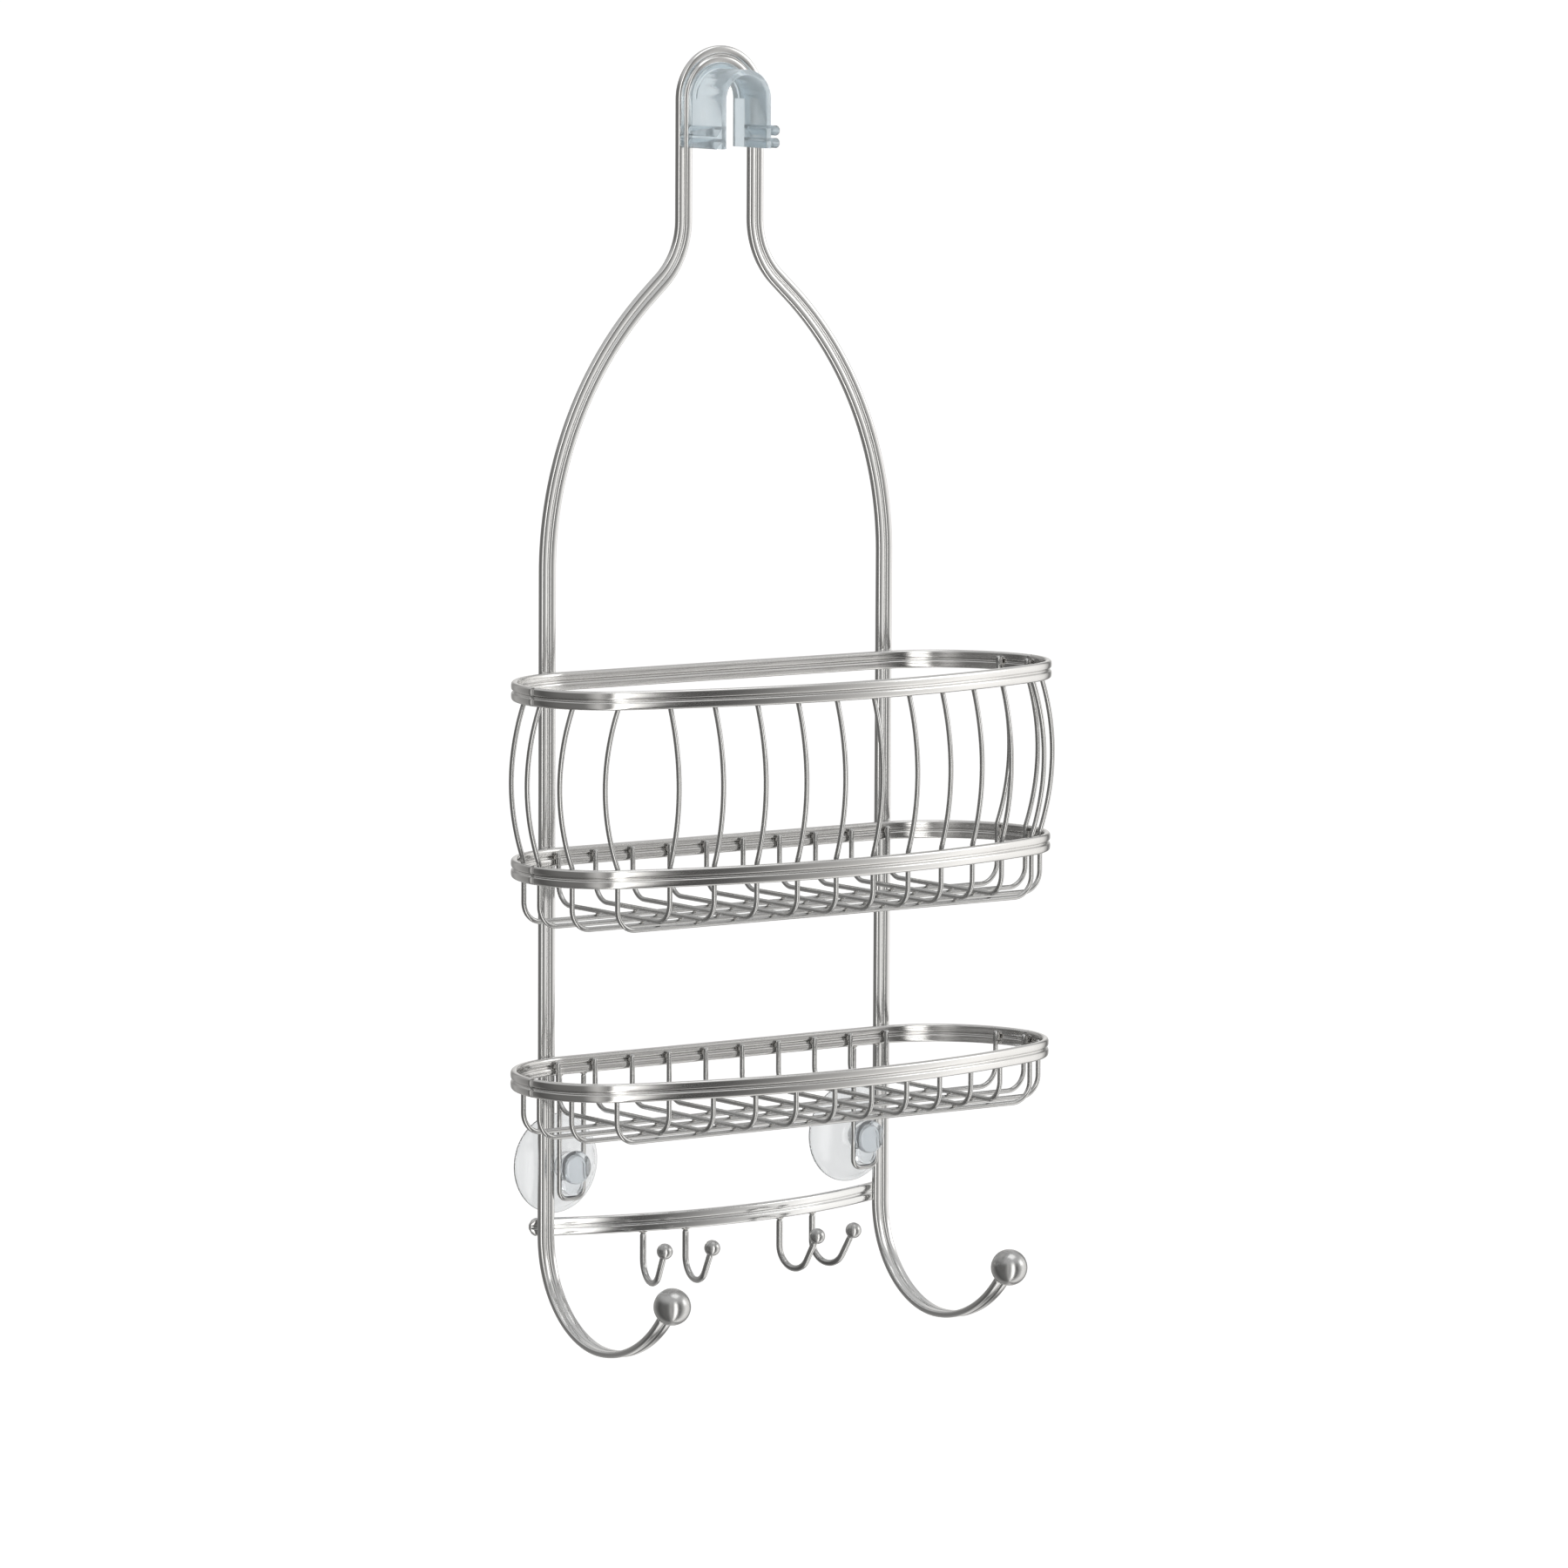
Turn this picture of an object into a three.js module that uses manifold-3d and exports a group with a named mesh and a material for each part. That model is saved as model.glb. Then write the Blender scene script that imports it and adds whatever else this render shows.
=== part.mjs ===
// Hanging shower caddy: a bent reeded-bar frame, two wire baskets, a crossbar with hooks,
// a clip-on arm saddle and two suction cups that slide in wire loops.
// Millimetres, +Z up, +X to the user's right, +Y towards the wall.
// The origin is the seat on the shower arm: under the saddle's crown, on the frame's middle plane.
import * as THREE from "three";
import { mergeVertices } from "three/addons/utils/BufferGeometryUtils.js";
import Module from "manifold-3d";

// ---------------------------------------------------------------- driving dimensions
const GAP = 0.3; // left between two pieces that touch
const ARM_D = 21.3; // the shower arm that the saddle sits on

const BAR_W = 8; // reeded flat bar, across its two ribs
const BAR_T = 3; // its thickness on a rib
const BAR_GROOVE = 0.45; // depth of the groove between the ribs, each side

const NECK_HALF = 19; // middle of the frame to the middle of a neck leg
const NECK_LENGTH = 52; // straight neck below the arm's axis
const NECK_BEND_R = 35;
const FLARE_RUN = 10; // straight between the neck bend and the shoulder
const SHOULDER_R = 157;
const RAIL_HALF = 90; // middle of the frame to the middle of a rail
const HOOK_TOP_Z = -500; // where a rail starts to curl into its towel hook
const HOOK_R = 45;
const HOOK_TAIL_R = 58;
const HOOK_TAIL_DEG = 50;
const HOOK_BALL_D = 16;

const BASKET_HALF = 134; // half the width over a basket's rim
const BASKET_DEPTH = 106; // frame's middle plane to the rim's front
const BASKET_FRONT_R = 330;
const BASKET_CORNER_FRONT = 38;
const BASKET_CORNER_BACK = 51; // smaller where a wide basket leaves less room at its ends
const RIM_H = 8;
const RIM_T = 3;

const TOP_RIM_Z = -259; // middles of the three rims
const LOWER_RIM_Z = -334.8;
const SHELF_RIM_Z = -425.8;
const BASKET_FLOOR_DROP = 20; // lower rim's middle to the crosswise wires of the floor
const SHELF_FLOOR_DROP = 19.5;

const WIRE_D = 2.2;
const WIRE_PITCH = 19.6; // between crosswise wires
const LENGTH_WIRE_SHARES = [0.34, 0.495, 0.655, 0.776]; // their places as shares of the depth
const LENGTH_WIRE_LIMIT = 0.92; // the last keeps this far round the front corner at most
const WIRE_BEND_R = 9;
const WIRE_BOW = 6.5; // how far the basket's wires bulge out between its rims
const CROSS_COUNT = 10;

const CROSSBAR_Z = -497;
const CROSSBAR_R = 213; // its bow, bulging away from the wall
const SMALL_HOOK_X = [-45.5, -25.3, 25.3, 45.5];
const SMALL_WIRE_D = 2.8;
const SMALL_LEG = 11.5;
const SMALL_R = 9.5;
const SMALL_SWEEP_DEG = 60; // how steeply its tip rises
const SMALL_TAIL = 9.3;
const SMALL_BALL_D = 7;

const LOOP_X = 79;
const LOOP_HALF = 6.3; // middle of the loop to the middle of a leg
const LOOP_BOTTOM_Z = -484.4;
const LOOP_BEND_R = 4;
const CUP_R = 21.8;
const CUP_RIM_W = 2;
const CUP_WALL_Y = 9; // the plane of the wall
const CUP_HEAD_R = 7.3;
const CUP_HEAD_T = 5;
const CUP_BOSS_R = 6.2;
const CUP_NECK_DROP = 7.6; // middle of the head to the middle of the neck's round foot

const SADDLE_WALL = 2.4;
const SADDLE_FRONT_Y = -20;
const SADDLE_BACK_Y = 5;
const SADDLE_FLANGE = 2; // how far the rim behind the frame's neck stands past it
const SADDLE_DROP = 21; // arm's axis to the underside of the feet
const SADDLE_FOOT_H = 4.4;
const SADDLE_FOOT_GAP = 1; // groove between the two feet of a side
const SADDLE_FOOT_IN = 1.2; // how far a foot stops short of the neck bar's middle

// ---------------------------------------------------------------- what follows from them
const ARM_Z = -ARM_D / 2;
const RAIL_FRONT_Y = -BAR_T / 2;
const RAIL_BACK_Y = BAR_T / 2;
const RIM_BACK_Y = RAIL_FRONT_Y - GAP;
const WIRE_R = WIRE_D / 2;
const WIRE_INSET = RIM_T + GAP + WIRE_R; // rim's outer face to a wire's middle
const TURN = Math.PI / 2;
const rad = THREE.MathUtils.degToRad;

const steel = () => new THREE.MeshStandardMaterial({ color: 0xb9b6b0, metalness: 1, roughness: 0.32 });
const ballSteel = () => new THREE.MeshStandardMaterial({ color: 0x8f8d88, metalness: 1, roughness: 0.22 });
const cupVinyl = () => new THREE.MeshStandardMaterial({ color: 0xdfe8ee, metalness: 0, roughness: 0.2 });
const saddlePlastic = () => new THREE.MeshStandardMaterial({ color: 0xa9c4cf, metalness: 0, roughness: 0.35 });

const wasm = await Module();
wasm.setup();

const caddy = new THREE.Group();

function add(name, geometry, material, parent = caddy) {
  const mesh = new THREE.Mesh(geometry, material);
  mesh.name = name;
  parent.add(mesh);
  return mesh;
}

// ---------------------------------------------------------------- bars and wires

// A path given by its stations: one ring of the section stands at each, and none between.
class StationPath extends THREE.Curve {
  constructor(points) {
    super();
    this.points = points;
  }

  station(share) {
    return Math.round(share * (this.points.length - 1));
  }

  getPointAt(share, target = new THREE.Vector3()) {
    return target.copy(this.points[this.station(share)]);
  }

  getPoint(share, target) {
    return this.getPointAt(share, target);
  }

  getTangentAt(share, target = new THREE.Vector3()) {
    const here = this.station(share);
    const last = this.points.length - 1;
    const before = this.points[Math.max(here - 1, 0)];
    const at = this.points[here];
    const after = this.points[Math.min(here + 1, last)];
    const incoming = at.clone().sub(before).normalize();
    const outgoing = after.clone().sub(at).normalize();
    return target.copy(incoming.add(outgoing).normalize());
  }
}

function sweep(section, points) {
  const path = new StationPath(points);
  return new THREE.ExtrudeGeometry(section, {
    steps: points.length - 1,
    extrudePath: path,
    bevelEnabled: false,
  });
}

function roundSection(diameter, sides = 6) {
  const shape = new THREE.Shape();
  shape.setFromPoints(
    Array.from({ length: sides }, (_, i) => {
      const angle = (2 * Math.PI * (i + 0.5)) / sides;
      return new THREE.Vector2(Math.cos(angle), Math.sin(angle)).multiplyScalar(diameter / 2);
    }),
  );
  return shape;
}

// The flat bar's section: two ribs with a groove between them on both faces.
// Its width lies along x, which the sweep keeps in the plane of the bend.
function barSection(width = BAR_W, thickness = BAR_T) {
  const w = width / 2;
  const t = thickness / 2;
  const edge = 0.7;
  const chamfer = 0.8;
  const groove = t - BAR_GROOVE;
  const valley = 0.1 * width;
  const front = [
    [w, t - edge],
    [w - chamfer, t],
    [valley, t],
    [0, groove],
    [-valley, t],
    [chamfer - w, t],
    [-w, t - edge],
  ];
  const points = [...front, ...front.map(([x, y]) => [-x, -y])];
  return new THREE.Shape(points.map(([x, y]) => new THREE.Vector2(x, y)));
}

// Points of an arc about a centre in a plane: centre + radius * (cos a * u + sin a * v).
function arc(centre, radius, from, to, steps, u, v) {
  return Array.from({ length: steps + 1 }, (_, i) => {
    const angle = from + ((to - from) * i) / steps;
    return centre
      .clone()
      .addScaledVector(u, radius * Math.cos(angle))
      .addScaledVector(v, radius * Math.sin(angle));
  });
}

// A polyline whose inner corners are rounded to one bend radius.
function roundCorners(corners, radius, steps = 4) {
  const out = [corners[0]];
  for (let i = 1; i < corners.length - 1; i += 1) {
    const here = corners[i];
    const back = corners[i - 1].clone().sub(here).normalize();
    const ahead = corners[i + 1].clone().sub(here).normalize();
    const half = back.angleTo(ahead) / 2;
    const middle = here.clone().addScaledVector(back.clone().add(ahead).normalize(), radius / Math.sin(half));
    const start = here.clone().addScaledVector(back, radius / Math.tan(half)).sub(middle);
    const end = here.clone().addScaledVector(ahead, radius / Math.tan(half)).sub(middle);
    const sweepAngle = start.angleTo(end);
    for (let k = 0; k <= steps; k += 1) {
      const a = (sweepAngle * k) / steps;
      const point = start.clone().multiplyScalar(Math.sin(sweepAngle - a) / Math.sin(sweepAngle));
      point.addScaledVector(end, Math.sin(a) / Math.sin(sweepAngle));
      out.push(point.add(middle));
    }
  }
  out.push(corners[corners.length - 1]);
  return out;
}

function mirrorX(points) {
  return points.map((p) => new THREE.Vector3(-p.x, p.y, p.z)).reverse();
}

const X = new THREE.Vector3(1, 0, 0);
const Y = new THREE.Vector3(0, 1, 0);
const Z = new THREE.Vector3(0, 0, 1);
const vec = (x, y, z) => new THREE.Vector3(x, y, z);

// ---------------------------------------------------------------- frame

// The neck bend and the shoulder turn by one angle, found so that the two arcs and the straight
// between them cover the step from neck to rail.
const arcsR = NECK_BEND_R + SHOULDER_R;
const step = RAIL_HALF - NECK_HALF;
const flare = Math.acos((arcsR - step) / Math.hypot(arcsR, FLARE_RUN)) - Math.atan2(FLARE_RUN, arcsR);
const neckEndZ = ARM_Z - NECK_LENGTH;
const shoulderZ = neckEndZ - arcsR * Math.sin(flare) - FLARE_RUN * Math.cos(flare);

// Right half of the frame's middle line, from the top of the hoop to the end of the towel hook.
function rightHalf() {
  const hoop = arc(vec(0, 0, ARM_Z), NECK_HALF, TURN, 0, 8, X, Z);
  const neck = arc(vec(NECK_HALF + NECK_BEND_R, 0, neckEndZ), NECK_BEND_R, Math.PI, Math.PI + flare, 5, X, Z);
  const shoulder = arc(vec(RAIL_HALF - SHOULDER_R, 0, shoulderZ), SHOULDER_R, flare, 0, 10, X, Z);
  const curl = arc(vec(RAIL_HALF, -HOOK_R, HOOK_TOP_Z), HOOK_R, 0, -TURN, 7, Y, Z);
  const tail = arc(
    vec(RAIL_HALF, -HOOK_R, HOOK_TOP_Z - HOOK_R + HOOK_TAIL_R),
    HOOK_TAIL_R,
    -TURN,
    -TURN - rad(HOOK_TAIL_DEG),
    6,
    Y,
    Z,
  );
  return [...hoop, ...neck, ...shoulder, ...curl, ...tail.slice(1)];
}

const half = rightHalf();
const framePath = [...mirrorX(half), ...half.slice(1)];
add("hanger_frame", sweep(barSection(), framePath), steel());

// The towel hooks' end balls sit on the bar's two ends.
const tailEnd = half[half.length - 1];
const tailDirection = vec(0, -Math.cos(rad(HOOK_TAIL_DEG)), Math.sin(rad(HOOK_TAIL_DEG)));
for (const [side, sign] of [["left", -1], ["right", 1]]) {
  const ball = add(`${side}_towel_ball`, new THREE.SphereGeometry(HOOK_BALL_D / 2, 18, 12), ballSteel());
  ball.position.copy(tailEnd).addScaledVector(tailDirection, HOOK_BALL_D / 2 + GAP);
  ball.position.x *= sign;
}

// ---------------------------------------------------------------- baskets

// A rim's plan is a D: a straight back, large back corners, small front corners and a bowed front.
// Everything is given for the outline moved inwards by an inset.
const frontCentreY = -BASKET_DEPTH + BASKET_FRONT_R;
const cornerX = BASKET_HALF - BASKET_CORNER_FRONT;
const cornerY = frontCentreY - Math.sqrt((BASKET_FRONT_R - BASKET_CORNER_FRONT) ** 2 - cornerX ** 2);
const cornerAngle = Math.atan2(cornerX, frontCentreY - cornerY);
const backCorner = Math.min(BASKET_CORNER_BACK, RIM_BACK_Y - cornerY);
const backX = BASKET_HALF - backCorner;
const backY = RIM_BACK_Y - backCorner;

function frontY(x, inset) {
  return frontCentreY - Math.sqrt((BASKET_FRONT_R - inset) ** 2 - x ** 2);
}

function rearY(x, inset) {
  const past = Math.max(Math.abs(x) - backX, 0);
  return backY + Math.sqrt((backCorner - inset) ** 2 - past ** 2);
}

function sideX(y, inset) {
  if (y > backY) return backX + Math.sqrt((backCorner - inset) ** 2 - (y - backY) ** 2);
  if (y > cornerY) return BASKET_HALF - inset;
  return cornerX + Math.sqrt((BASKET_CORNER_FRONT - inset) ** 2 - (y - cornerY) ** 2);
}

function rimOutline(inset) {
  const path = new THREE.Shape();
  const frontR = BASKET_FRONT_R - inset;
  const cornerR = BASKET_CORNER_FRONT - inset;
  const backR = backCorner - inset;
  const points = [];
  const push = (cx, cy, radius, from, to, steps) => {
    for (let i = 0; i <= steps; i += 1) {
      const a = from + ((to - from) * i) / steps;
      points.push(new THREE.Vector2(cx + radius * Math.cos(a), cy + radius * Math.sin(a)));
    }
  };
  push(0, frontCentreY, frontR, -TURN - cornerAngle, -TURN + cornerAngle, 10);
  push(cornerX, cornerY, cornerR, -TURN + cornerAngle, 0, 5);
  push(backX, backY, backR, 0, TURN, 7);
  push(-backX, backY, backR, TURN, Math.PI, 7);
  push(-cornerX, cornerY, cornerR, Math.PI, 1.5 * Math.PI - cornerAngle, 5);
  const clean = points.filter((p, i) => p.distanceTo(points[(i + points.length - 1) % points.length]) > 0.01);
  path.setFromPoints(clean);
  return path;
}

function rim(name, middleZ) {
  const band = rimOutline(0);
  band.holes.push(new THREE.Path(rimOutline(RIM_T).getPoints().reverse()));
  const geometry = new THREE.ExtrudeGeometry(band, { depth: RIM_H, bevelEnabled: false });
  add(name, geometry, steel()).position.z = middleZ - RIM_H / 2;
}

// The outward bulge between the two rims: how far out a wire is, at a share of the way down.
const bulge = (share) => 4 * WIRE_BOW * share * (1 - share);
const BULGE_STEPS = 6;
const stubTop = RIM_H / 2 - 1.5; // a wire's end stays just below its rim's top edge

// Heights of a basket wire's upper leg, with the outward bulge at each.
function legStations(upperZ, lowerZ) {
  if (upperZ === lowerZ) return [[upperZ + stubTop, 0]];
  const high = upperZ - RIM_H / 2;
  const low = lowerZ + RIM_H / 2;
  const stations = [[upperZ + stubTop, 0]];
  for (let i = 0; i <= BULGE_STEPS; i += 1) {
    const share = i / BULGE_STEPS;
    stations.push([high + (low - high) * share, bulge(share)]);
  }
  return stations;
}

// A crosswise wire: down the front, back along the floor and up to the lower rim.
function crossWire(x, upperZ, lowerZ, floorZ) {
  const front = frontY(x, WIRE_INSET);
  const back = rearY(x, WIRE_INSET);
  const leg = legStations(upperZ, lowerZ).map(([z, out]) => vec(x, front - out, z));
  const floor = [vec(x, front, floorZ), vec(x, back, floorZ), vec(x, back, lowerZ + stubTop)];
  const bent = roundCorners([leg[leg.length - 1], ...floor], WIRE_BEND_R);
  return [...leg.slice(0, -1), ...bent];
}

// A lengthwise wire: down one end, along under the crosswise wires and up the other end.
function lengthWire(y, upperZ, lowerZ, floorZ) {
  const side = sideX(y, WIRE_INSET);
  const under = floorZ - WIRE_D - GAP;
  const right = legStations(upperZ, lowerZ).map(([z, out]) => vec(side + out, y, z));
  const left = right.map((p) => vec(-p.x, p.y, p.z));
  const bent = roundCorners(
    [left[left.length - 1], vec(-side, y, under), vec(side, y, under), right[right.length - 1]],
    WIRE_BEND_R,
  );
  return [...left.slice(0, -1), ...bent, ...right.slice(0, -1).reverse()];
}

function basketWires(prefix, upperZ, lowerZ, floorZ) {
  const section = roundSection(WIRE_D);
  for (let i = 0; i < CROSS_COUNT; i += 1) {
    const x = (i - (CROSS_COUNT - 1) / 2) * WIRE_PITCH;
    add(`${prefix}_cross_wire_${i + 1}`, sweep(section, crossWire(x, upperZ, lowerZ, floorZ)), steel());
  }
  const limitY = cornerY - LENGTH_WIRE_LIMIT * (BASKET_CORNER_FRONT - WIRE_INSET);
  LENGTH_WIRE_SHARES.forEach((share, i) => {
    const y = Math.max(-share * BASKET_DEPTH, limitY);
    add(`${prefix}_length_wire_${i + 1}`, sweep(section, lengthWire(y, upperZ, lowerZ, floorZ)), steel());
  });
}

rim("basket_top_rim", TOP_RIM_Z);
rim("basket_lower_rim", LOWER_RIM_Z);
rim("shelf_rim", SHELF_RIM_Z);
basketWires("basket", TOP_RIM_Z, LOWER_RIM_Z, LOWER_RIM_Z - BASKET_FLOOR_DROP);
basketWires("shelf", SHELF_RIM_Z, SHELF_RIM_Z, SHELF_RIM_Z - SHELF_FLOOR_DROP);

// ---------------------------------------------------------------- crossbar and small hooks

// One arc from end to end, its ends lying against the backs of the rails.
const passAngle = Math.asin((RAIL_HALF - BAR_W / 2) / CROSSBAR_R);
const endAngle = Math.asin((RAIL_HALF + BAR_W / 2) / CROSSBAR_R);
const passY = RAIL_BACK_Y + GAP + BAR_T / 2 / Math.cos(passAngle);
const bowCentreY = passY + CROSSBAR_R * Math.cos(passAngle);
const bow = arc(vec(0, bowCentreY, CROSSBAR_Z), CROSSBAR_R, -TURN - endAngle, -TURN + endAngle, 16, X, Y);
add("hook_rail", sweep(barSection(), bow), steel());

// Each small hook hangs from the bar's underside and points straight out from the bow.
function smallHook(index, x) {
  const angle = Math.asin(x / CROSSBAR_R);
  const holder = new THREE.Group();
  holder.position.set(x, bowCentreY - CROSSBAR_R * Math.cos(angle), CROSSBAR_Z - BAR_W / 2 - GAP);
  holder.rotation.z = angle;
  caddy.add(holder);
  const centre = vec(0, -SMALL_R, -SMALL_LEG);
  const bend = arc(centre, SMALL_R, 0, -TURN - rad(SMALL_SWEEP_DEG), 9, Y, Z);
  const heading = vec(0, -Math.cos(rad(SMALL_SWEEP_DEG)), Math.sin(rad(SMALL_SWEEP_DEG)));
  const tip = bend[bend.length - 1].clone().addScaledVector(heading, SMALL_TAIL);
  add(`small_hook_${index}`, sweep(roundSection(SMALL_WIRE_D, 8), [vec(0, 0, 0), ...bend, tip]), steel(), holder);
  const ball = add(`small_hook_ball_${index}`, new THREE.SphereGeometry(SMALL_BALL_D / 2, 12, 8), ballSteel(), holder);
  ball.position.copy(tip).addScaledVector(heading, SMALL_BALL_D / 2 + GAP);
}

SMALL_HOOK_X.forEach((x, i) => smallHook(i + 1, x));

// ---------------------------------------------------------------- suction cups and their loops

const loopY = RIM_BACK_Y - RIM_T / 2; // under the middle of the shelf rim's back
const loopTopZ = SHELF_RIM_Z - RIM_H / 2 - GAP;
const neckHalf = LOOP_HALF - WIRE_R - GAP;
const cupFootZ = LOOP_BOTTOM_Z + WIRE_R + GAP + neckHalf;
const cupZ = cupFootZ + CUP_NECK_DROP;

function loopWire(x) {
  const corners = [
    vec(x - LOOP_HALF, loopY, loopTopZ),
    vec(x - LOOP_HALF, loopY, LOOP_BOTTOM_Z),
    vec(x + LOOP_HALF, loopY, LOOP_BOTTOM_Z),
    vec(x + LOOP_HALF, loopY, loopTopZ),
  ];
  return sweep(roundSection(WIRE_D, 8), roundCorners(corners, LOOP_BEND_R));
}

function toSolid(geometry) {
  const bare = geometry.clone();
  bare.deleteAttribute("normal");
  bare.deleteAttribute("uv");
  const merged = mergeVertices(bare, 1e-4);
  const vertProperties = merged.attributes.position.array;
  const triVerts = new Uint32Array(merged.index.array);
  return new wasm.Manifold(new wasm.Mesh({ numProp: 3, vertProperties, triVerts }));
}

function toGeometry(solid) {
  const mesh = solid.getMesh();
  const geometry = new THREE.BufferGeometry();
  geometry.setAttribute("position", new THREE.BufferAttribute(mesh.vertProperties, 3));
  geometry.setIndex(new THREE.BufferAttribute(mesh.triVerts, 1));
  geometry.computeVertexNormals();
  return geometry;
}

// A turned profile of [radius, y] pairs, about the Y axis of its own frame.
function turned(profile, segments) {
  return new THREE.LatheGeometry(profile.map(([r, y]) => new THREE.Vector2(r, y)), segments);
}

// The cup's round body with a hollow wall side, and a flat-sided neck that keys it in its loop.
function suctionCup() {
  const grooveFront = loopY - WIRE_R - GAP;
  const grooveBack = loopY + WIRE_R + GAP;
  const flangeY = RAIL_BACK_Y + GAP;
  const hollow = CUP_R - CUP_RIM_W;
  const body = turned(
    [
      [0, grooveBack],
      [CUP_BOSS_R, grooveBack],
      [CUP_BOSS_R, flangeY],
      [0.64 * CUP_R, CUP_WALL_Y - 5.4],
      [0.92 * CUP_R, CUP_WALL_Y - 2.4],
      [CUP_R, CUP_WALL_Y - 0.8],
      [CUP_R, CUP_WALL_Y],
      [hollow, CUP_WALL_Y],
      [0.84 * CUP_R, CUP_WALL_Y - 1.4],
      [0.55 * CUP_R, CUP_WALL_Y - 3.9],
      [0, flangeY + 2.2],
    ],
    28,
  );
  const head = turned(
    [
      [0, grooveFront - CUP_HEAD_T],
      [0.5 * CUP_HEAD_R, grooveFront - CUP_HEAD_T + 0.4],
      [0.85 * CUP_HEAD_R, grooveFront - 0.6 * CUP_HEAD_T],
      [CUP_HEAD_R, grooveFront - 0.25 * CUP_HEAD_T],
      [0.93 * CUP_HEAD_R, grooveFront],
      [0, grooveFront],
    ],
    20,
  );
  const stadium = new THREE.Shape();
  stadium.absarc(0, 0, neckHalf, 0, Math.PI, false);
  stadium.absarc(0, -CUP_NECK_DROP, neckHalf, Math.PI, 2 * Math.PI, false);
  const depth = grooveBack - grooveFront + 2;
  const neck = new THREE.ExtrudeGeometry(stadium, { depth, bevelEnabled: false, curveSegments: 8 });
  neck.rotateX(TURN);
  neck.translate(0, grooveBack + 1, 0);
  return toGeometry(toSolid(body).add(toSolid(head)).add(toSolid(neck)));
}

for (const [side, sign] of [["left", -1], ["right", 1]]) {
  add(`${side}_cup_loop`, loopWire(sign * LOOP_X), steel());
  add(`${side}_suction_cup`, suctionCup(), cupVinyl()).position.set(sign * LOOP_X, 0, cupZ);
}

// ---------------------------------------------------------------- arm saddle

const saddleInner = ARM_D / 2;
const saddleOuter = saddleInner + SADDLE_WALL;
const legInner = NECK_HALF - BAR_W / 2 - GAP;
const legFrontY = RAIL_FRONT_Y - GAP;

// A plate whose outline lies in x and z, from one y to another.
function plateXZ(shape, fromY, toY) {
  const plate = new THREE.ExtrudeGeometry(shape, {
    depth: toY - fromY,
    bevelEnabled: false,
    curveSegments: 12,
  });
  plate.rotateX(TURN);
  plate.translate(0, toY, 0);
  return toSolid(plate);
}

function halfRing(outer, inner) {
  const ring = new THREE.Shape();
  ring.absarc(0, 0, outer, 0, Math.PI, false);
  ring.lineTo(-inner, 0);
  ring.absarc(0, 0, inner, Math.PI, 0, true);
  return ring;
}

function saddle() {
  const hood = new THREE.Shape();
  hood.moveTo(saddleOuter, -SADDLE_DROP);
  hood.lineTo(saddleOuter, 0);
  hood.absarc(0, 0, saddleOuter, 0, Math.PI, false);
  hood.lineTo(-saddleOuter, -SADDLE_DROP);
  hood.lineTo(-saddleInner, -SADDLE_DROP);
  hood.absarc(0, 0, saddleInner, Math.PI, 0, true);
  hood.lineTo(saddleInner, -SADDLE_DROP);
  let body = plateXZ(hood, SADDLE_FRONT_Y, SADDLE_BACK_Y);
  body = body.add(plateXZ(halfRing(legInner, saddleOuter - 1), RAIL_FRONT_Y, RAIL_BACK_Y));
  const flange = halfRing(legInner + SADDLE_FLANGE, saddleOuter - 1);
  body = body.add(plateXZ(flange, RAIL_BACK_Y + GAP, SADDLE_BACK_Y));
  const footInner = saddleOuter - 1;
  const footOuter = NECK_HALF - SADDLE_FOOT_IN;
  const tipR = SADDLE_FOOT_H / 2;
  for (const foot of [0, SADDLE_FOOT_H + SADDLE_FOOT_GAP]) {
    const middle = -SADDLE_DROP + foot + tipR;
    const outline = new THREE.Shape();
    outline.moveTo(footInner, middle - tipR);
    outline.absarc(footOuter - tipR, middle, tipR, -TURN, TURN, false);
    outline.lineTo(footInner, middle + tipR);
    const right = plateXZ(outline, SADDLE_FRONT_Y, legFrontY);
    body = body.add(right).add(right.mirror([1, 0, 0]));
  }
  return toGeometry(body);
}

add("arm_saddle", saddle(), saddlePlastic()).position.z = ARM_Z;

export default caddy;
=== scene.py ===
# %% [markdown]
# # A hanging shower caddy in satin steel
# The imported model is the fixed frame: it says where every rail, rim, wire, hook and cup sits. Each piece
# of it is then made again as a fine surface, worked out with numpy, that keeps the same middle line and
# the same sizes, because a polished bar shows every facet of a coarse one.

# %% Load the frame
import math
import bpy
import numpy as np
from mathutils import Matrix, Vector


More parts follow.
